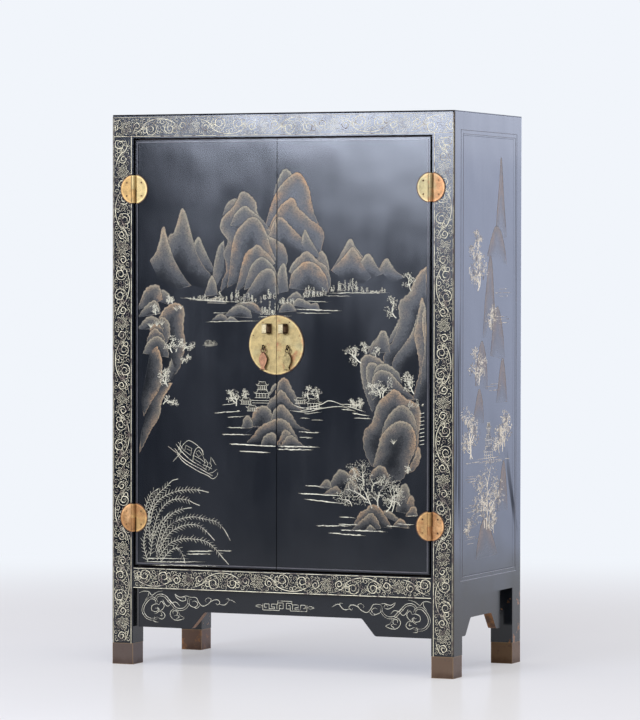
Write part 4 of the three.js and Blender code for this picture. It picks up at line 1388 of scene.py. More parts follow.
MIDDLE_HILLS = [
    (0, [(-15, 994), (-8, 1019), (1, 1040), (10, 1050), (22, 1044), (33, 1027)]),
    (9, [(-33, 931), (-26, 956), (-19, 979), (-10, 1000), (6, 1021), (22, 1035), (37, 1042), (49, 1035),
         (63, 1010), (69, 985), (76, 956), (85, 935)]),
    (1, [(-132, 953), (-125, 974), (-116, 984), (-102, 988), (-86, 980)]),
    (1, [(72, 856), (88, 879), (101, 871), (108, 854), (110, 836), (104, 811)]),
    (6, [(-26, 919), (-19, 940), (-10, 956), (1, 973), (13, 983), (24, 990), (33, 985), (40, 969),
         (54, 956), (69, 942), (85, 933), (97, 919), (97, 900), (90, 879)], (81, 856), (36, 856),
         (-10, 881)),
    (1, [(-157, 785), (-155, 814), (-153, 843), (-148, 869), (-143, 885), (-137, 894), (-127, 902)],
         (-129, 785), (-125, 843)),
    (6, [(-136, 793), (-132, 816), (-123, 835), (-125, 856), (-130, 873), (-123, 890), (-120, 902),
         (-130, 915), (-137, 927), (-134, 946), (-120, 961), (-107, 974), (-97, 990), (-91, 1001),
         (-79, 1001), (-65, 990), (-56, 978), (-54, 961), (-42, 944), (-28, 927), (-19, 915)]),
    (1, [(-176, 782), (-169, 801), (-164, 818), (-157, 827), (-150, 814), (-146, 787)]),
    (2, [(-114, 932), (-104, 955), (-91, 969), (-79, 973), (-68, 965), (-56, 957), (-42, 944), (-26, 923)]),
    (4, [(-28, 902), (-19, 931), (-12, 944), (-3, 950), (8, 946), (22, 931), (38, 915), (51, 902),
         (65, 888), (72, 873)], (54, 852), (22, 835), (-10, 844)),
    (1, [(49, 896), (51, 910), (56, 923), (63, 912), (72, 896), (81, 881), (90, 865)], (72, 867),
         (58, 881)),
    (3, [(-38, 921), (-24, 908), (-10, 902), (6, 892), (13, 877), (15, 860), (8, 840)], (-19, 827),
         (-28, 869)),
    (6, [(-120, 801), (-116, 837), (-113, 869), (-109, 894), (-100, 919), (-86, 936), (-72, 948),
         (-58, 950), (-47, 942), (-38, 927), (-31, 911), (-26, 894), (-19, 877), (-10, 860)]),
    (7, [(-104, 789), (-95, 818), (-88, 846), (-79, 873), (-65, 885), (-51, 892), (-38, 881), (-24, 869),
         (-12, 852)]),
    (2, [(-81, 797), (-74, 827), (-67, 848), (-56, 860), (-42, 867), (-28, 858), (-17, 846), (-8, 827)]),
    (1, [(-10, 789), (-8, 821), (-1, 844), (8, 852), (13, 835), (17, 796)]),
    (4, [(-88, 776), (-70, 800), (-58, 818), (-47, 833), (-31, 842), (-17, 839), (-10, 821), (-5, 789)]),
    (2, [(20, 835), (31, 856), (45, 869), (58, 879), (72, 871), (85, 858), (101, 848), (110, 831),
         (113, 811), (108, 794)]),
    (7, [(22, 802), (26, 829), (40, 846), (54, 856), (70, 856), (85, 848), (99, 831), (106, 815),
         (108, 794)]),
]
SHORE_ROCKS = [
    (2, [(52, 790), (63, 802), (74, 806), (86, 798), (97, 788)]),
    (1, [(13, 775), (24, 787), (38, 794), (49, 783), (56, 771)]),
    (4, [(-42, 793), (-33, 802), (-21, 804), (-12, 798), (-5, 787)]),
    (1, [(-169, 768), (-155, 780), (-136, 780), (-123, 766)]),
    (1, [(27, 765), (38, 779), (54, 777), (70, 769), (83, 771), (90, 754)]),
    (4, [(-3, 750), (4, 766), (17, 773), (29, 765), (36, 752)]),
    (4, [(-111, 760), (-97, 768), (-79, 772), (-60, 770), (-49, 760), (-42, 745)]),
    (1, [(-127, 741), (-113, 757), (-97, 766), (-81, 762), (-69, 753), (-67, 739)]),
    (1, [(-157, 732), (-143, 745), (-129, 745), (-118, 732)]),
    (0, [(-129, 730), (-113, 741), (-97, 730)]),
]
LEFT_CLIFF = [
    (1, [(-290, 775), (-278, 795), (-264, 792), (-255, 780), (-248, 763)]),
    (5, [(-333, 750), (-323, 771), (-314, 794), (-302, 805), (-283, 807), (-276, 792), (-274, 776)]),
    (1, [(-330, 737), (-316, 756), (-302, 769), (-290, 773), (-281, 763), (-278, 746)]),
    (5, [(-283, 729), (-271, 752), (-262, 761), (-253, 767), (-239, 769), (-227, 763), (-222, 750),
         (-225, 729), (-225, 708), (-220, 687), (-222, 670), (-227, 653), (-232, 636), (-239, 626),
         (-253, 613)], (-274, 644)),
    (2, [(-285, 729), (-276, 740), (-264, 735), (-257, 723), (-257, 704), (-262, 689), (-269, 676)]),
    (1, [(-330, 712), (-314, 735), (-302, 741), (-290, 739), (-281, 731), (-271, 714)]),
    (5, [(-304, 710), (-297, 720), (-288, 725), (-278, 720), (-271, 706)]),
    (3, [(-309, 688), (-302, 705), (-292, 714), (-283, 710), (-274, 701), (-267, 689)]),
    (1, [(-264, 598), (-262, 619), (-255, 640), (-250, 655)], (-241, 624), (-255, 598)),
    (5, [(-250, 602), (-260, 585), (-269, 572), (-276, 555), (-278, 538), (-285, 521), (-297, 506),
         (-306, 491), (-316, 472), (-328, 450)], (-323, 495), (-290, 593)),
    (1, [(-316, 661), (-309, 682), (-297, 695), (-283, 699), (-271, 691), (-262, 676), (-260, 653)]),
    (7, [(-285, 678), (-276, 657), (-274, 636), (-276, 615), (-278, 598), (-285, 581), (-295, 566),
         (-306, 548), (-318, 529)], (-323, 563), (-302, 665)),
]
RIGHT_CLIFF = [
    (1, [(243, 681), (250, 702), (259, 720), (268, 741)], (274, 716)),
    (5, [(239, 642), (234, 658), (241, 677), (252, 689), (261, 706), (268, 725), (270, 745), (267, 762),
         (270, 776), (279, 784), (292, 795), (298, 809), (307, 824), (318, 838), (334, 848)], (334, 696),
         (279, 642)),
    (3, [(259, 630), (254, 646), (259, 661), (270, 675), (283, 690), (294, 704), (303, 725), (310, 754)],
         (323, 717), (306, 622)),
    (5, [(301, 572), (308, 603), (314, 630), (312, 655), (308, 680), (303, 708), (308, 733), (312, 762),
         (318, 783), (325, 762), (332, 733)], (335, 573)),
    (3, [(317, 606), (319, 634), (325, 672), (323, 696), (319, 725), (321, 750), (325, 762), (330, 742),
         (334, 713)], (334, 606)),
    (1, [(194, 662), (201, 677), (210, 691), (221, 699), (230, 695)]),
    (3, [(203, 666), (210, 685), (219, 699), (225, 710), (232, 714), (239, 708), (243, 693), (245, 671)]),
    (2, [(210, 546), (199, 569), (190, 592), (185, 616), (183, 641), (185, 656), (196, 664), (212, 662),
         (225, 656), (239, 644)], (235, 571)),
    (2, [(210, 571), (199, 598), (194, 625), (196, 641), (205, 648), (219, 644)], (230, 588)),
    (1, [(212, 617), (214, 633), (223, 644), (239, 646), (254, 638), (266, 626), (272, 607)]),
    (3, [(205, 592), (210, 619), (221, 631), (237, 631), (250, 625), (261, 613), (275, 599), (290, 587),
         (304, 572)], (261, 572)),
    (5, [(208, 434), (197, 453), (192, 471), (190, 492), (194, 509), (206, 521), (212, 538), (217, 555),
         (228, 571), (243, 582), (257, 592), (270, 586), (281, 576), (297, 570), (310, 562), (315, 546),
         (313, 523), (310, 503), (310, 478), (308, 453), (297, 432)]),
    (6, [(286, 420), (295, 438), (304, 455), (310, 474), (315, 461), (311, 441), (299, 426)]),
    (2, [(224, 480), (232, 507), (239, 526), (248, 541), (261, 555), (275, 562), (290, 554), (301, 539),
         (306, 519), (306, 494)]),
    (6, [(210, 432), (217, 457), (224, 476), (228, 493), (241, 510), (255, 522), (270, 529), (288, 525),
         (299, 513), (304, 494), (302, 469), (293, 449), (286, 428), (277, 411), (262, 405), (235, 400)],
         (239, 427)),
    (8, [(204, 405), (210, 424), (224, 435), (235, 433), (244, 419), (246, 404)]),
]
ISLAND = [
    (1, [(-30, 567), (-21, 586), (-14, 599), (-3, 599)]),
    (5, [(-12, 576), (-5, 601), (2, 612), (11, 614), (20, 606), (25, 593), (31, 583), (38, 566),
         (47, 546)]),
    (3, [(-32, 547), (-21, 568), (-10, 576), (0, 587), (9, 583), (20, 570), (29, 560), (41, 552),
         (52, 542)]),
    (5, [(-67, 510), (-62, 538), (-55, 550), (-42, 555), (-30, 553), (-23, 545), (-16, 528), (-26, 511)]),
    (2, [(-23, 517), (-14, 543), (-5, 553), (4, 558), (16, 549), (25, 539), (32, 527), (41, 514),
         (54, 508), (68, 502)]),
    (1, [(-88, 506), (-83, 525), (-76, 533), (-67, 525), (-65, 508)]),
    (1, [(-85, 491), (-69, 502), (-55, 508), (-42, 517)]),
    (6, [(-76, 477), (-60, 492), (-51, 504), (-37, 515), (-23, 522), (-10, 528), (4, 528), (18, 522),
         (27, 510), (34, 497), (41, 485)]),
    (1, [(-44, 469), (-37, 488), (-25, 496), (-14, 497), (-7, 484), (2, 472)]),
    (8, [(-7, 474), (2, 493), (9, 505), (18, 503), (27, 491)]),
    (4, [(2, 470), (11, 484), (20, 493), (32, 491), (43, 481), (59, 469)]),
]
NEAR_ROCKS = [
    (6, [(152, 404), (161, 425), (172, 429), (181, 413)]),
    (3, [(109, 384), (120, 408), (129, 420), (138, 425), (150, 419), (159, 413), (168, 404), (177, 384)]),
    (2, [(89, 386), (98, 397), (107, 403), (114, 395), (118, 380)]),
    (1, [(145, 375), (152, 394), (161, 402), (170, 392), (177, 376)]),
    (5, [(98, 372), (114, 384), (129, 389), (138, 375)]),
    (1, [(264, 341), (268, 374), (275, 395), (284, 399), (291, 387), (293, 366), (291, 337)]),
    (4, [(286, 358), (295, 376), (302, 366), (300, 346)]),
    (4, [(284, 329), (295, 348), (304, 352), (309, 333)]),
    (2, [(224, 335), (240, 344), (253, 338), (264, 328), (275, 320), (286, 308)]),
    (5, [(255, 309), (269, 326), (280, 322), (291, 308)]),
    (6, [(168, 313), (181, 336), (195, 343), (204, 351), (217, 352), (226, 346), (235, 334), (244, 321),
         (253, 305)]),
    (3, [(163, 298), (177, 315), (190, 326), (201, 335), (210, 335), (219, 323), (226, 304)]),
    (1, [(193, 299), (204, 312), (217, 302)]),
]
# The hills from the farthest to the nearest, with their seed, the dust's reach and their lumps
LAND = (
    (FAR_PEAKS, 3, 42.0, 0.4), (MIDDLE_HILLS, 4, 32.0, 0.9), (SHORE_ROCKS, 5, 22.0, 0.9),
    (LEFT_CLIFF, 6, 24.0, 1.5), (RIGHT_CLIFF, 7, 28.0, 1.5), (ISLAND, 8, 24.0, 1.5),
    (NEAR_ROCKS, 9, 22.0, 1.5),
)

# %% [markdown]
# The strokes come after the hills and lie over them. Shores and trees are listed by place, so that
# moving one is a change of two numbers, and chance gives each its own twigs and leaves.

# %% Strokes of the landscape
# Each reed: its points from the root to the tip
REEDS = [
    [(-301, 262), (-304, 309), (-297, 341), (-283, 364), (-264, 380), (-250, 393), (-238, 397)],
    [(-302, 300), (-290, 341), (-266, 361), (-236, 372), (-208, 375), (-187, 375), (-166, 371)],
    [(-297, 271), (-283, 320), (-259, 348), (-236, 355), (-213, 353), (-199, 347), (-187, 343)],
    [(-311, 308), (-311, 336), (-304, 353), (-297, 366), (-283, 375)],
    [(-287, 250), (-271, 299), (-250, 323), (-231, 332), (-215, 336), (-206, 337)],
    [(-285, 241), (-264, 289), (-236, 310), (-203, 318), (-173, 314), (-147, 309), (-129, 294),
     (-115, 272)],
    [(-287, 231), (-259, 278), (-226, 298), (-192, 301), (-171, 289), (-152, 271)],
    [(-285, 224), (-259, 257), (-231, 270), (-196, 271), (-168, 266), (-147, 250), (-133, 235),
     (-119, 221)],
    [(-278, 218), (-255, 244), (-236, 251), (-224, 235), (-219, 218)],
    [(-306, 219), (-316, 255), (-311, 287), (-304, 326)],
    [(-301, 232), (-294, 271), (-278, 301), (-259, 323)],
]
# Each shore: its left end, its right end and its width
SHORES = [
    (-232, 780, -111, 772, 1.6), (-208, 776, -42, 770, 1.0), (-155, 749, -120, 749, 1.2),
    (-173, 730, -42, 733, 1.2), (-51, 741, 27, 744, 1.1), (31, 758, 140, 755, 2.2),
    (58, 775, 113, 773, 1.2), (36, 750, 117, 750, 1.4), (108, 792, 247, 793, 1.5),
    (104, 786, 162, 786, 1.1), (-134, 555, -97, 560, 1.4), (-152, 538, -88, 544, 1.8),
    (-120, 530, -78, 533, 1.4), (-122, 509, -78, 508, 1.6), (-134, 494, -64, 494, 1.9),
    (-117, 474, -28, 471, 2.4), (-41, 471, 91, 471, 2.6), (-9, 465, 77, 465, 2.4),
    (-94, 459, -21, 457, 2.4), (70, 527, 100, 528, 1.0), (41, 502, 91, 501, 1.6), (43, 491, 75, 490, 1.4),
    (45, 531, 68, 531, 1.2), (45, 546, 100, 555, 1.6), (54, 540, 95, 544, 1.2), (138, 551, 172, 548, 1.4),
    (149, 558, 194, 546, 1.8), (163, 543, 203, 538, 1.8), (167, 533, 208, 532, 1.5),
    (136, 562, 185, 558, 1.3), (57, 391, 114, 387, 2.0), (41, 374, 145, 371, 2.2),
    (55, 362, 152, 354, 2.2), (134, 327, 172, 326, 1.8), (82, 307, 163, 309, 2.0),
    (132, 312, 181, 311, 1.6), (136, 300, 244, 299, 2.4), (109, 293, 195, 289, 2.2),
    (264, 316, 304, 315, 1.5), (286, 333, 311, 334, 1.1), (240, 311, 271, 310, 1.4),
    (-215, 245, -152, 247, 2.2), (-143, 248, -110, 249, 1.5), (-217, 239, -157, 241, 1.8),
    (-318, 227, -208, 229, 1.5), (-320, 219, -170, 224, 1.7), (-301, 213, -133, 216, 1.2),
]
# Each tree: its foot, its height and its lean
TREES = [
    (-250, 664, 35, 0.10), (-241, 666, 28, -0.40), (-225, 668, 28, -0.90), (-260, 592, 33, 0.30),
    (-269, 602, 28, -0.10), (-271, 555, 33, -1.25), (-227, 641, 23, -0.70), (261, 741, 42, 0.35),
    (294, 797, 33, 0.25), (183, 647, 42, 0.90), (176, 653, 28, 0.40), (194, 666, 23, 0.20),
    (216, 660, 19, -0.20), (226, 575, 37, 0.40), (232, 576, 37, -0.35), (217, 584, 23, 0.80),
    (181, 552, 21, 0.10), (167, 556, 16, 0.30), (301, 585, 37, 0.50), (292, 597, 28, 0.10),
    (-288, 744, 19, 0.20), (-260, 767, 16, -0.30), (-250, 767, 14, 0.10), (-101, 554, 33, 0.10),
    (-106, 562, 23, 0.50), (-78, 571, 16, 0.20), (64, 570, 26, 0.10), (88, 570, 22, 0.30),
    (288, 420, 14, 0.00),
]
NEAR_TREES = [
    (208, 347, 56, 0.50), (222, 348, 61, -0.15), (240, 340, 61, -0.30), (195, 364, 51, 0.95),
    (253, 340, 56, -0.10), (190, 393, 47, 0.10), (177, 401, 33, 0.50), (208, 381, 42, -0.50),
    (163, 350, 37, 0.90), (271, 353, 37, 0.20),
]
# Each thicket: its two ends, its height, how many trees it has, and its seed
THICKETS = [
    ((-208, 776), (-150, 774), 12, 9, 31), ((-150, 774), (-42, 772), 22, 13, 32),
    ((-44, 746), (-8, 746), 30, 8, 33), ((-40, 778), (-8, 780), 24, 6, 34),
    ((-4, 768), (30, 770), 18, 6, 35), ((52, 782), (104, 786), 24, 9, 36),
    ((112, 795), (180, 796), 24, 9, 37), ((180, 794), (240, 793), 10, 9, 38),
    ((290, 556), (322, 560), 16, 5, 39), ((158, 556), (186, 552), 18, 6, 40),
]
TUFTS = [(-300, 716), (-286, 720), (-274, 722), (-240, 752), (-230, 756), (256, 480)]
# Each pavilion: the middle of its floor, half its width, its floors, its tone and how tall it is
PAVILIONS = [
    (-41, 572, 17, 2, 0.9, 1.0), (-78, 558, 13, 1, 0.9, 1.0), (-64, 544, 12, 1, 0.9, 1.0),
    (46, 561, 12, 1, 0.9, 1.0), (76, 551, 16, 1, 0.9, 1.3),
]
BOATS = [(-199, 441, 107, -0.524, 0.85), (-162, 684, 28, 0.05, 0.7)]
OVER_HILLS = 0.2


def draw_growth(brush):
    """Trees and grass of the middle distance."""
    rng = random.Random(21)
    for thicket_row in THICKETS:
        thicket(brush, *thicket_row)
    for place in TREES:
        tree(brush, *place, rng)
    for place in TUFTS:
        tuft(brush, *place, rng)


def draw_island(brush):
    """The pavilions on the island, their terrace, the path to the cliff and its steps."""
    brush.weight = 0.85
    for place in PAVILIONS:
        pavilion(brush, *place)
    for height in (561, 566):
        brush.line((-64, height), (-26, height), 1.1, 0.8)
    brush.weight = 1.0
    brush.stroke(smooth([(26, 560), (54, 552), (92, 560), (112, 568), (140, 560), (160, 550)]), 1.5, 0.85)
    brush.stroke(smooth([(22, 546), (60, 544), (96, 552), (140, 556), (176, 544)]), 1.4, 0.8)
    for step in range(9):
        brush.line((314, 480 + step * 8), (324, 482 + step * 8), 1.2, 0.8)


def draw_water_side(brush):
    """The shores, the boats, the near trees and the reeds."""
    rng = random.Random(22)
    for line in SHORES:
        shore(brush, *line, rng)
    for place in BOATS:
        boat(brush, *place)
    brush.weight = 0.8
    for place in NEAR_TREES:
        tree(brush, *place, rng, 0.75, 1.3)
    brush.weight = 1.0
    for path in REEDS:
        reed(brush, path, rng)


BEAD_RISE = 1.0 * mm
BEAD_CLEAR, SEAM_CLEAR = 7.5, 0.4
door_face = front_face(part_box("door_left")[0].y + BEAD_RISE)
for side in ("left", "right"):
    low, high = box_mm("door_" + side)
    limits = (low.x + BEAD_CLEAR, high.x - SEAM_CLEAR)
    if side == "right":
        limits = (low.x + SEAM_CLEAR, high.x - BEAD_CLEAR)
    hills = Brush(door_face, *limits)
    for group in LAND:
        draw_hills(hills, *group)
    hills.piece("hills_door_" + side, hill_dust, "door_" + side, "black_lacquer")
    strokes = Brush(door_face, *limits)
    strokes.level = OVER_HILLS
    for draw in (draw_growth, draw_island, draw_water_side):
        draw(strokes)
    strokes.piece("gilt_door_" + side, golds["doors"], "door_" + side, "pale_brass")

# %% [markdown]
# ## Ornament on the apron
#
# The apron has a scroll at each end and a small key fret in the middle. The scrolls are drawn in
# double line, as if a ribbon were bent into a C, with a leaf at its end and a tail that runs out in
# waves. The fret is ruled, since its corners are square.

# %% Apron
# Each line of the left scroll: 1 if it is double, and its points from the scroll's own zero
SCROLL_LINES = [
    (1, [(29, 4), (26, 10), (17, 12), (8, 5), (1, -6), (1, -17), (10, -27), (22, -29), (31, -26)]),
    (1, [(24, 10), (29, 19), (38, 23), (50, 21), (59, 13), (69, 3), (78, -5), (92, -5), (102, 4),
         (104, 15), (111, 19)]),
    (0, [(-11, 24), (0, 28), (12, 27), (19, 20), (31, 27), (45, 30)]), (0, [(12, 27), (10, 18), (3, 9)]),
    (0, [(45, 11), (50, 2), (57, -2), (64, 5), (59, 11), (55, 7)]), (0, [(64, 5), (76, 7), (85, -1)]),
    (0, [(73, 24), (78, 16), (90, 10), (99, 13), (95, 19), (90, 14)]),
    (0, [(73, 24), (85, 18), (99, 21), (109, 19)]),
    (0, [(109, 19), (123, 18), (130, 7), (139, 1), (151, 6), (158, 15), (151, 19), (144, 14), (146, 10)]),
    (0, [(104, 6), (111, 0), (120, -2), (127, 5), (120, 11), (113, 9)]),
    (0, [(116, -2), (125, -4), (132, 3)]),
    (0, [(155, 10), (165, 15), (174, 15), (178, 9), (172, 5), (169, 9)]),
    (0, [(176, 7), (188, 5), (197, 12), (199, 18), (192, 18)]), (0, [(197, 14), (204, 16), (216, 10)]),
    (0, [(31, -26), (43, -30), (50, -23), (45, -15), (36, -15)]),
    (0, [(36, -15), (45, -8), (48, 0), (41, 8), (36, 0)]),
    (0, [(36, 0), (29, 2), (19, -3), (19, -12), (29, -15), (34, -9), (26, -7)]),
    (0, [(31, -5), (36, -9), (34, -15), (26, -20)]), (0, [(26, -26), (24, -35), (34, -37)]),
    (0, [(38, -22), (43, -23), (41, -17)]),
    (0, [(76, -5), (66, -10), (62, -19), (69, -29), (81, -31), (95, -26), (85, -20), (81, -11)]),
    (0, [(69, -18), (69, -12), (78, -12), (78, -20), (71, -22)]), (0, [(76, -29), (83, -24), (78, -20)]),
]
# The right half of the fret, and the leaf that ends it
FRET = [
    [(0, 12), (18, 12), (18, 8), (4, 8), (4, -4), (14, -4), (14, 3), (9, 3)],
    [(20, -5), (20, 5), (34, 5), (34, -1), (26, -1), (26, -5), (40, -5), (40, 5), (52, 5), (52, -2),
     (46, -2)],
    [(18, 12), (18, 5), (20, 5)], [(40, -8), (56, -8), (56, 5)], [(14, -4), (14, -8), (40, -8)],
]
FRET_LEAF = [(56, 0), (64, 2.6), (74, 0), (64, -2.6), (56, 0)]
FRET_STRETCH, FRET_DOWN = 0.9, 29
# Where the scroll's zero lies from the apron's upper corner, and how wide its ribbon is
SCROLL_IN, SCROLL_DOWN, RIBBON = 12, 35, 4.2


def draw_apron():
    """Both scrolls and the fret, on the front of the apron."""
    low, high = box_mm("front_apron")
    brush = Brush(front_face(low.y * mm))
    height = high.z - SCROLL_DOWN
    for side, corner in ((1, low.x + SCROLL_IN), (-1, high.x - SCROLL_IN)):
        for double, points in SCROLL_LINES:
            path = smooth(np.array(points) * (side, 1.0) + (corner, height), 1.6)
            brush.stroke(path, 1.45, 1.1, ends=(0.6, 0.4))
            if double:
                brush.stroke(beside(path, -RIBBON * side), 1.15, 1.1, ends=(0.6, 0.4))
    centre = ((low.x + high.x) / 2 + 2, high.z - FRET_DOWN)
    for side in (-1, 1):
        for key in FRET:
            places = np.array(key) * (side * FRET_STRETCH, 1.0) + centre
            for start, end in zip(places, places[1:]):
                brush.line(start, end, 1.3, 0.95)
        leaf = np.array(FRET_LEAF) * (side * FRET_STRETCH, 1.0) + centre
        brush.stroke(smooth(leaf, 2.0), 1.2, 0.95)
    brush.piece("gilt_apron", golds["doors"], "carcass", "pale_brass")


draw_apron()

# %% [markdown]
# ## The sides
#
# The sides were gilded once too, but more thinly, and rubbing has left pinkish ghosts: peaks at the
# top, a pavilion among trees below. Two threads of lacquer stand up round the panel as a frame,
# coloured grey as a painted highlight. The same landscape is drawn on both sides, with other chances
# of the hand. It is seen from a low angle, so trees and water are stretched along the side.

# %% What is drawn on the sides
SIDE_PEAKS = [
    (2, [(50, 900), (62, 960), (74, 1020), (84, 1076), (94, 1030), (104, 970), (116, 910)]),
    (3, [(4, 870), (26, 902), (52, 930), (82, 922), (104, 890), (118, 850)]),
    (2, [(-20, 700), (-8, 770), (10, 846), (24, 868), (36, 830), (46, 760), (52, 700)]),
    (3, [(24, 660), (40, 720), (60, 760), (80, 748), (98, 700), (106, 650)]),
    (2, [(-64, 600), (-50, 650), (-30, 690), (-12, 676), (0, 640), (6, 590)]),
    (3, [(60, 560), (76, 612), (96, 652), (112, 618), (122, 560)]),
    (2, [(-76, 520), (-60, 560), (-42, 592), (-24, 566), (-16, 520)]),
    (3, [(66, 330), (84, 390), (104, 436), (118, 396), (126, 330)]),
    (4, [(-60, 236), (-40, 284), (-16, 316), (12, 308), (40, 276), (66, 240)]),
]
SIDE_TREES = [
    (-94, 448, 92, 0.02), (-80, 448, 76, 0.12), (96, 456, 74, -0.1), (80, 450, 58, 0.15),
    (110, 466, 56, -0.1), (4, 296, 122, 0.0), (-8, 300, 104, 0.2), (18, 298, 98, -0.22),
    (-60, 610, 62, 0.1), (-44, 600, 56, -0.2), (30, 716, 50, 0.1), (42, 712, 40, 0.2),
    (-52, 796, 88, 0.0), (-44, 802, 70, 0.12), (-98, 288, 34, 0.2), (-50, 884, 36, 0.1), (46, 286, 44, 0.2),
]
SIDE_PAVILIONS = [(14, 446, 21, 3, 1.0, 1.2), (-88, 880, 9, 1, 0.5, 1.2)]
# Each stretch of water: its height, its start and its end
SIDE_WATER = [
    (412, -124, -40), (352, -120, -60), (318, -126, -54), (800, 50, 150), (742, 40, 140),
    (600, -10, 90), (286, -126, -50), (446, -120, 140),
]
COAT_BACK = 0.06
SIDE_STRETCH = 1.35
THREAD_RISE = 0.45
# The outer thread's places: back from the frame's face, up from the bottom rail, down from the top
THREAD_FRONT, THREAD_REAR, THREAD_UP, THREAD_DOWN = 37, 365, 35, 39
# The inner one lies behind its front line by the first, and inside its other lines by the second
INNER_BACK, INNER_IN = 13, 8

# %% Sides
def side_brush(side, out, wide=1.0):
    """A brush on one side at a distance out from the middle. wide stretches what it draws along the side."""
    return Brush(Face((side * out * mm, 0.0, 0.0), (0, side * wide, 0), (0, 0, 1)))


def draw_thread(name, side, out, low, high, width):
    """A raised thread round a rectangle between two corners, each so far back and so high."""
    brush = side_brush(side, out)
    corners = [(side * y, z) for y, z in (low, (high[0], low[1]), high, (low[0], high[1]))]
    for start, end in zip(corners, corners[1:] + corners[:1]):
        brush.line(start, end, width, 0.35, rise=THREAD_RISE)
    brush.piece(name, highlit_thread_lacquer, "carcass", "black_lacquer")


def coat_panel(name, side, face, panel, low, high):
    """The thick coat on the side panel, which brings it level with the frame round it."""
    corners, faces = [], []
    rings = ((0.1, panel - 0.2), (0.1, face - 0.45), (0.5, face - COAT_BACK), (1.5, face - COAT_BACK))
    back, front_ring = (3, 2, 1, 0), (12, 13, 14, 15)
    for inset, out in rings:
        for y, z in ((low.y + inset, low.z + inset), (high.y - inset, low.z + inset),
                     (high.y - inset, high.z - inset), (low.y + inset, high.z - inset)):
            corners.append((side * out * mm, y * mm, z * mm))
    for ring in range(3):
        for index in range(4):
            a, b = ring * 4 + index, ring * 4 + (index + 1) % 4
            faces.append((a, b, b + 4, a + 4) if side > 0 else (a + 4, b + 4, b, a))
    ends = [front_ring, back]
    faces += ends if side > 0 else [tuple(reversed(end)) for end in ends]
    lacquer_of_panel = nodes["side_panel_" + name].data.materials[0]
    coat = add_mesh("side_coat_" + name, corners, faces, lacquer_of_panel)
    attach(coat, "carcass")


def draw_side(name, side):
    """The coat and threads on one side, and its faded peaks, trees and pavilions."""
    rng = random.Random(70 + side)
    panel_low, panel_high = box_mm("side_panel_" + name)
    post_face = abs(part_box("post_front_" + name)[side > 0].x) / mm
    panel_face = abs((panel_high if side > 0 else panel_low).x)
    seen_low = Vector((0.0, box_mm("post_front_" + name)[1].y, box_mm("side_bottom_rail_" + name)[1].z))
    seen_high = Vector((0.0, box_mm("post_rear_" + name)[0].y, box_mm("side_top_rail_" + name)[0].z))
    coat_panel(name, side, post_face, panel_face, seen_low, seen_high)
    low = (frame_y / mm + THREAD_FRONT, bottom_low.z + THREAD_UP)
    high = (frame_y / mm + THREAD_REAR, top_high.z - THREAD_DOWN)
    draw_thread("thread_outer_" + name, side, post_face, low, high, 2.0)
    low, high = (low[0] + INNER_BACK, low[1] + INNER_IN), (high[0] - INNER_IN, high[1] - INNER_IN)
    draw_thread("thread_inner_" + name, side, post_face, low, high, 1.6)
    peaks = side_brush(side, post_face - COAT_BACK)
    draw_hills(peaks, SIDE_PEAKS, 71 + side, reach=62.0)
    peaks.piece("hills_side_" + name, faded_dust, "carcass", "black_lacquer")
    strokes = side_brush(side, post_face - COAT_BACK, SIDE_STRETCH)
    strokes.level, strokes.weight = 0.12, 0.85
    for x, z, height, lean in SIDE_TREES:
        tree(strokes, x / SIDE_STRETCH, z, height, lean, rng, rng.uniform(0.75, 1.15), 1.4, 1.9)
    for x, *rest in SIDE_PAVILIONS:
        pavilion(strokes, x / SIDE_STRETCH, *rest)
    for height, start, stop in SIDE_WATER:
        water(strokes, start / SIDE_STRETCH, stop / SIDE_STRETCH, height)
    for ridge in SIDE_PEAKS:
        path = smooth(ridge[1], 3.0) / (SIDE_STRETCH, 1.0)
        strokes.stroke(path[rng.randrange(0, 8):len(path) - rng.randrange(4, 20)], 0.8, 0.3)
    strokes.piece("gilt_side_" + name, golds["sides"], "carcass", "pale_brass")


def highlit_thread_finish():
    """Lacquer for thin raised work, made grey all over as a painted highlight, with a noise between two
    greys.
    """
    material, shader, place = new_finish("highlit_thread_lacquer")
    worn = place.noise(60.0, detail=4.0, roughness=0.7)
    # Both greys stand for the highlight that the raised threads catch.
    feed(shader, Base_Color=worn.ramp(0.4, 0.7).mix(colour(84, 86, 94), colour(104, 96, 98)))
    feed(shader, Roughness=worn * 0.2 + 0.22)
    feed(shader, Normal=place.noise(300.0).bump(0.1 * mm, strength=0.3))
    return material


highlit_thread_lacquer = highlit_thread_finish()
draw_side("right", 1)
draw_side("left", -1)

# %% [markdown]
# ## Nails
#
# Each hinge leaf is held by two small nails and each half of the lock plate by three, driven
# through and filed nearly flush. A nail head is turned as a low dome with a flat skirt, and it
# gets its own dark brass.

# %% Nails
NAIL_SIDES = 14
NAIL_RINGS = [(1.0, 0.0), (0.97, 0.45), (0.7, 0.85), (0.3, 1.0)]


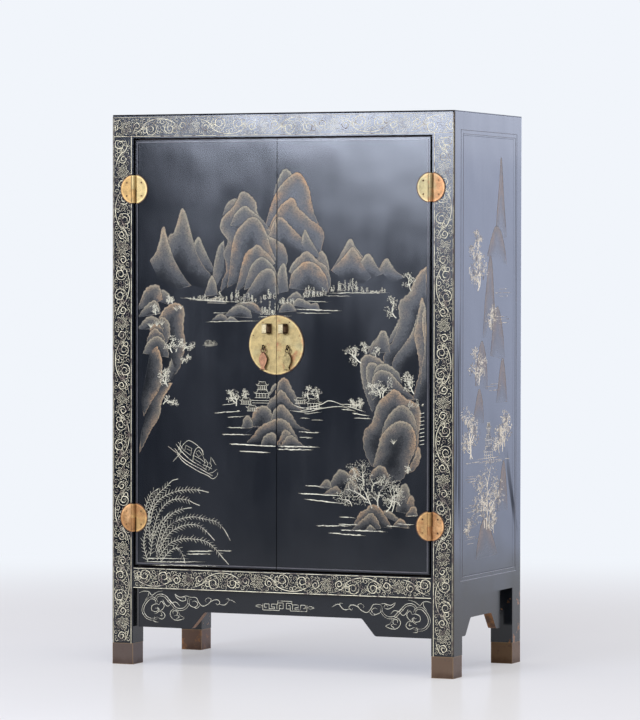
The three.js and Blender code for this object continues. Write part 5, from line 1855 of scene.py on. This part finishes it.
def add_nails(name, spots, radius, rise, body):
    """Domed heads at places on a face that looks to the front."""
    corners, faces = [], []
    for x, y, z in spots:
        base = len(corners)
        for reach, up in NAIL_RINGS:
            for index in range(NAIL_SIDES):
                out = radius * reach * heading(2 * math.pi * index / NAIL_SIDES)
                corners.append((x + out[0], y - rise * up, z + out[1]))
        top = base + (len(NAIL_RINGS) - 1) * NAIL_SIDES
        for ring in range(base, top, NAIL_SIDES):
            for index in range(NAIL_SIDES):
                a, b = ring + index, ring + (index + 1) % NAIL_SIDES
                faces.append((a, b, b + NAIL_SIDES, a + NAIL_SIDES))
        faces.append([top + index for index in range(NAIL_SIDES)])
        faces.append([base + index for index in reversed(range(NAIL_SIDES))])
    nails = add_mesh(name, corners, faces, nail_brass)
    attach(nails, body)
    return len(spots)


nail_brass = cast_brass("nail_brass", colour(150, 112, 70), colour(60, 40, 26), 0.6)
HINGE_NAIL, LOCK_NAIL = (2.1 * mm, 0.7 * mm), (1.6 * mm, 0.6 * mm)
NAIL_OUT, NAIL_UP = 17.0 * mm, 14.0 * mm
LEAF_PROUD, LOCK_SUNK, LOCK_RIM = 1.8 * mm, 0.1 * mm, 7 * mm
LOCK_ANGLES = (0.35, 1.0, -1.0)
driven = 0
for corner in HINGE_STAINS:
    pin_low, pin_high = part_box(f"hinge_{corner}_pin")
    centre = (pin_low + pin_high) / 2
    side = corner.split("_")[1]
    inward = 1 if side == "left" else -1
    door_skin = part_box("door_" + side)[0].y + BEAD_RISE
    leaves_of_hinge = ((inward, "door", "door_" + side, door_skin), (-inward, "frame", "carcass", frame_y))
    for way, kind, body, skin in leaves_of_hinge:
        spots = [(centre.x + way * NAIL_OUT, skin - LEAF_PROUD, centre.z + up * NAIL_UP) for up in (-1, 1)]
        driven += add_nails(f"nails_hinge_{corner}_{kind}_leaf", spots, *HINGE_NAIL, body)
for side, way in (("left", -1), ("right", 1)):
    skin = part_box("lock_plate_" + side)[0].y + LOCK_SUNK
    spots = []
    for angle in LOCK_ANGLES:
        out = (lock_radius - LOCK_RIM) * heading(angle)
        spots.append((lock_centre.x + way * out[0], skin, lock_centre.z + out[1]))
    driven += add_nails("nails_lock_" + side, spots, *LOCK_NAIL, "door_" + side)
print("nails:", driven)

# %% [markdown]
# ## The end
#
# Last, the outer size is measured again.

# %% Size of the visual model
low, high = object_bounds()
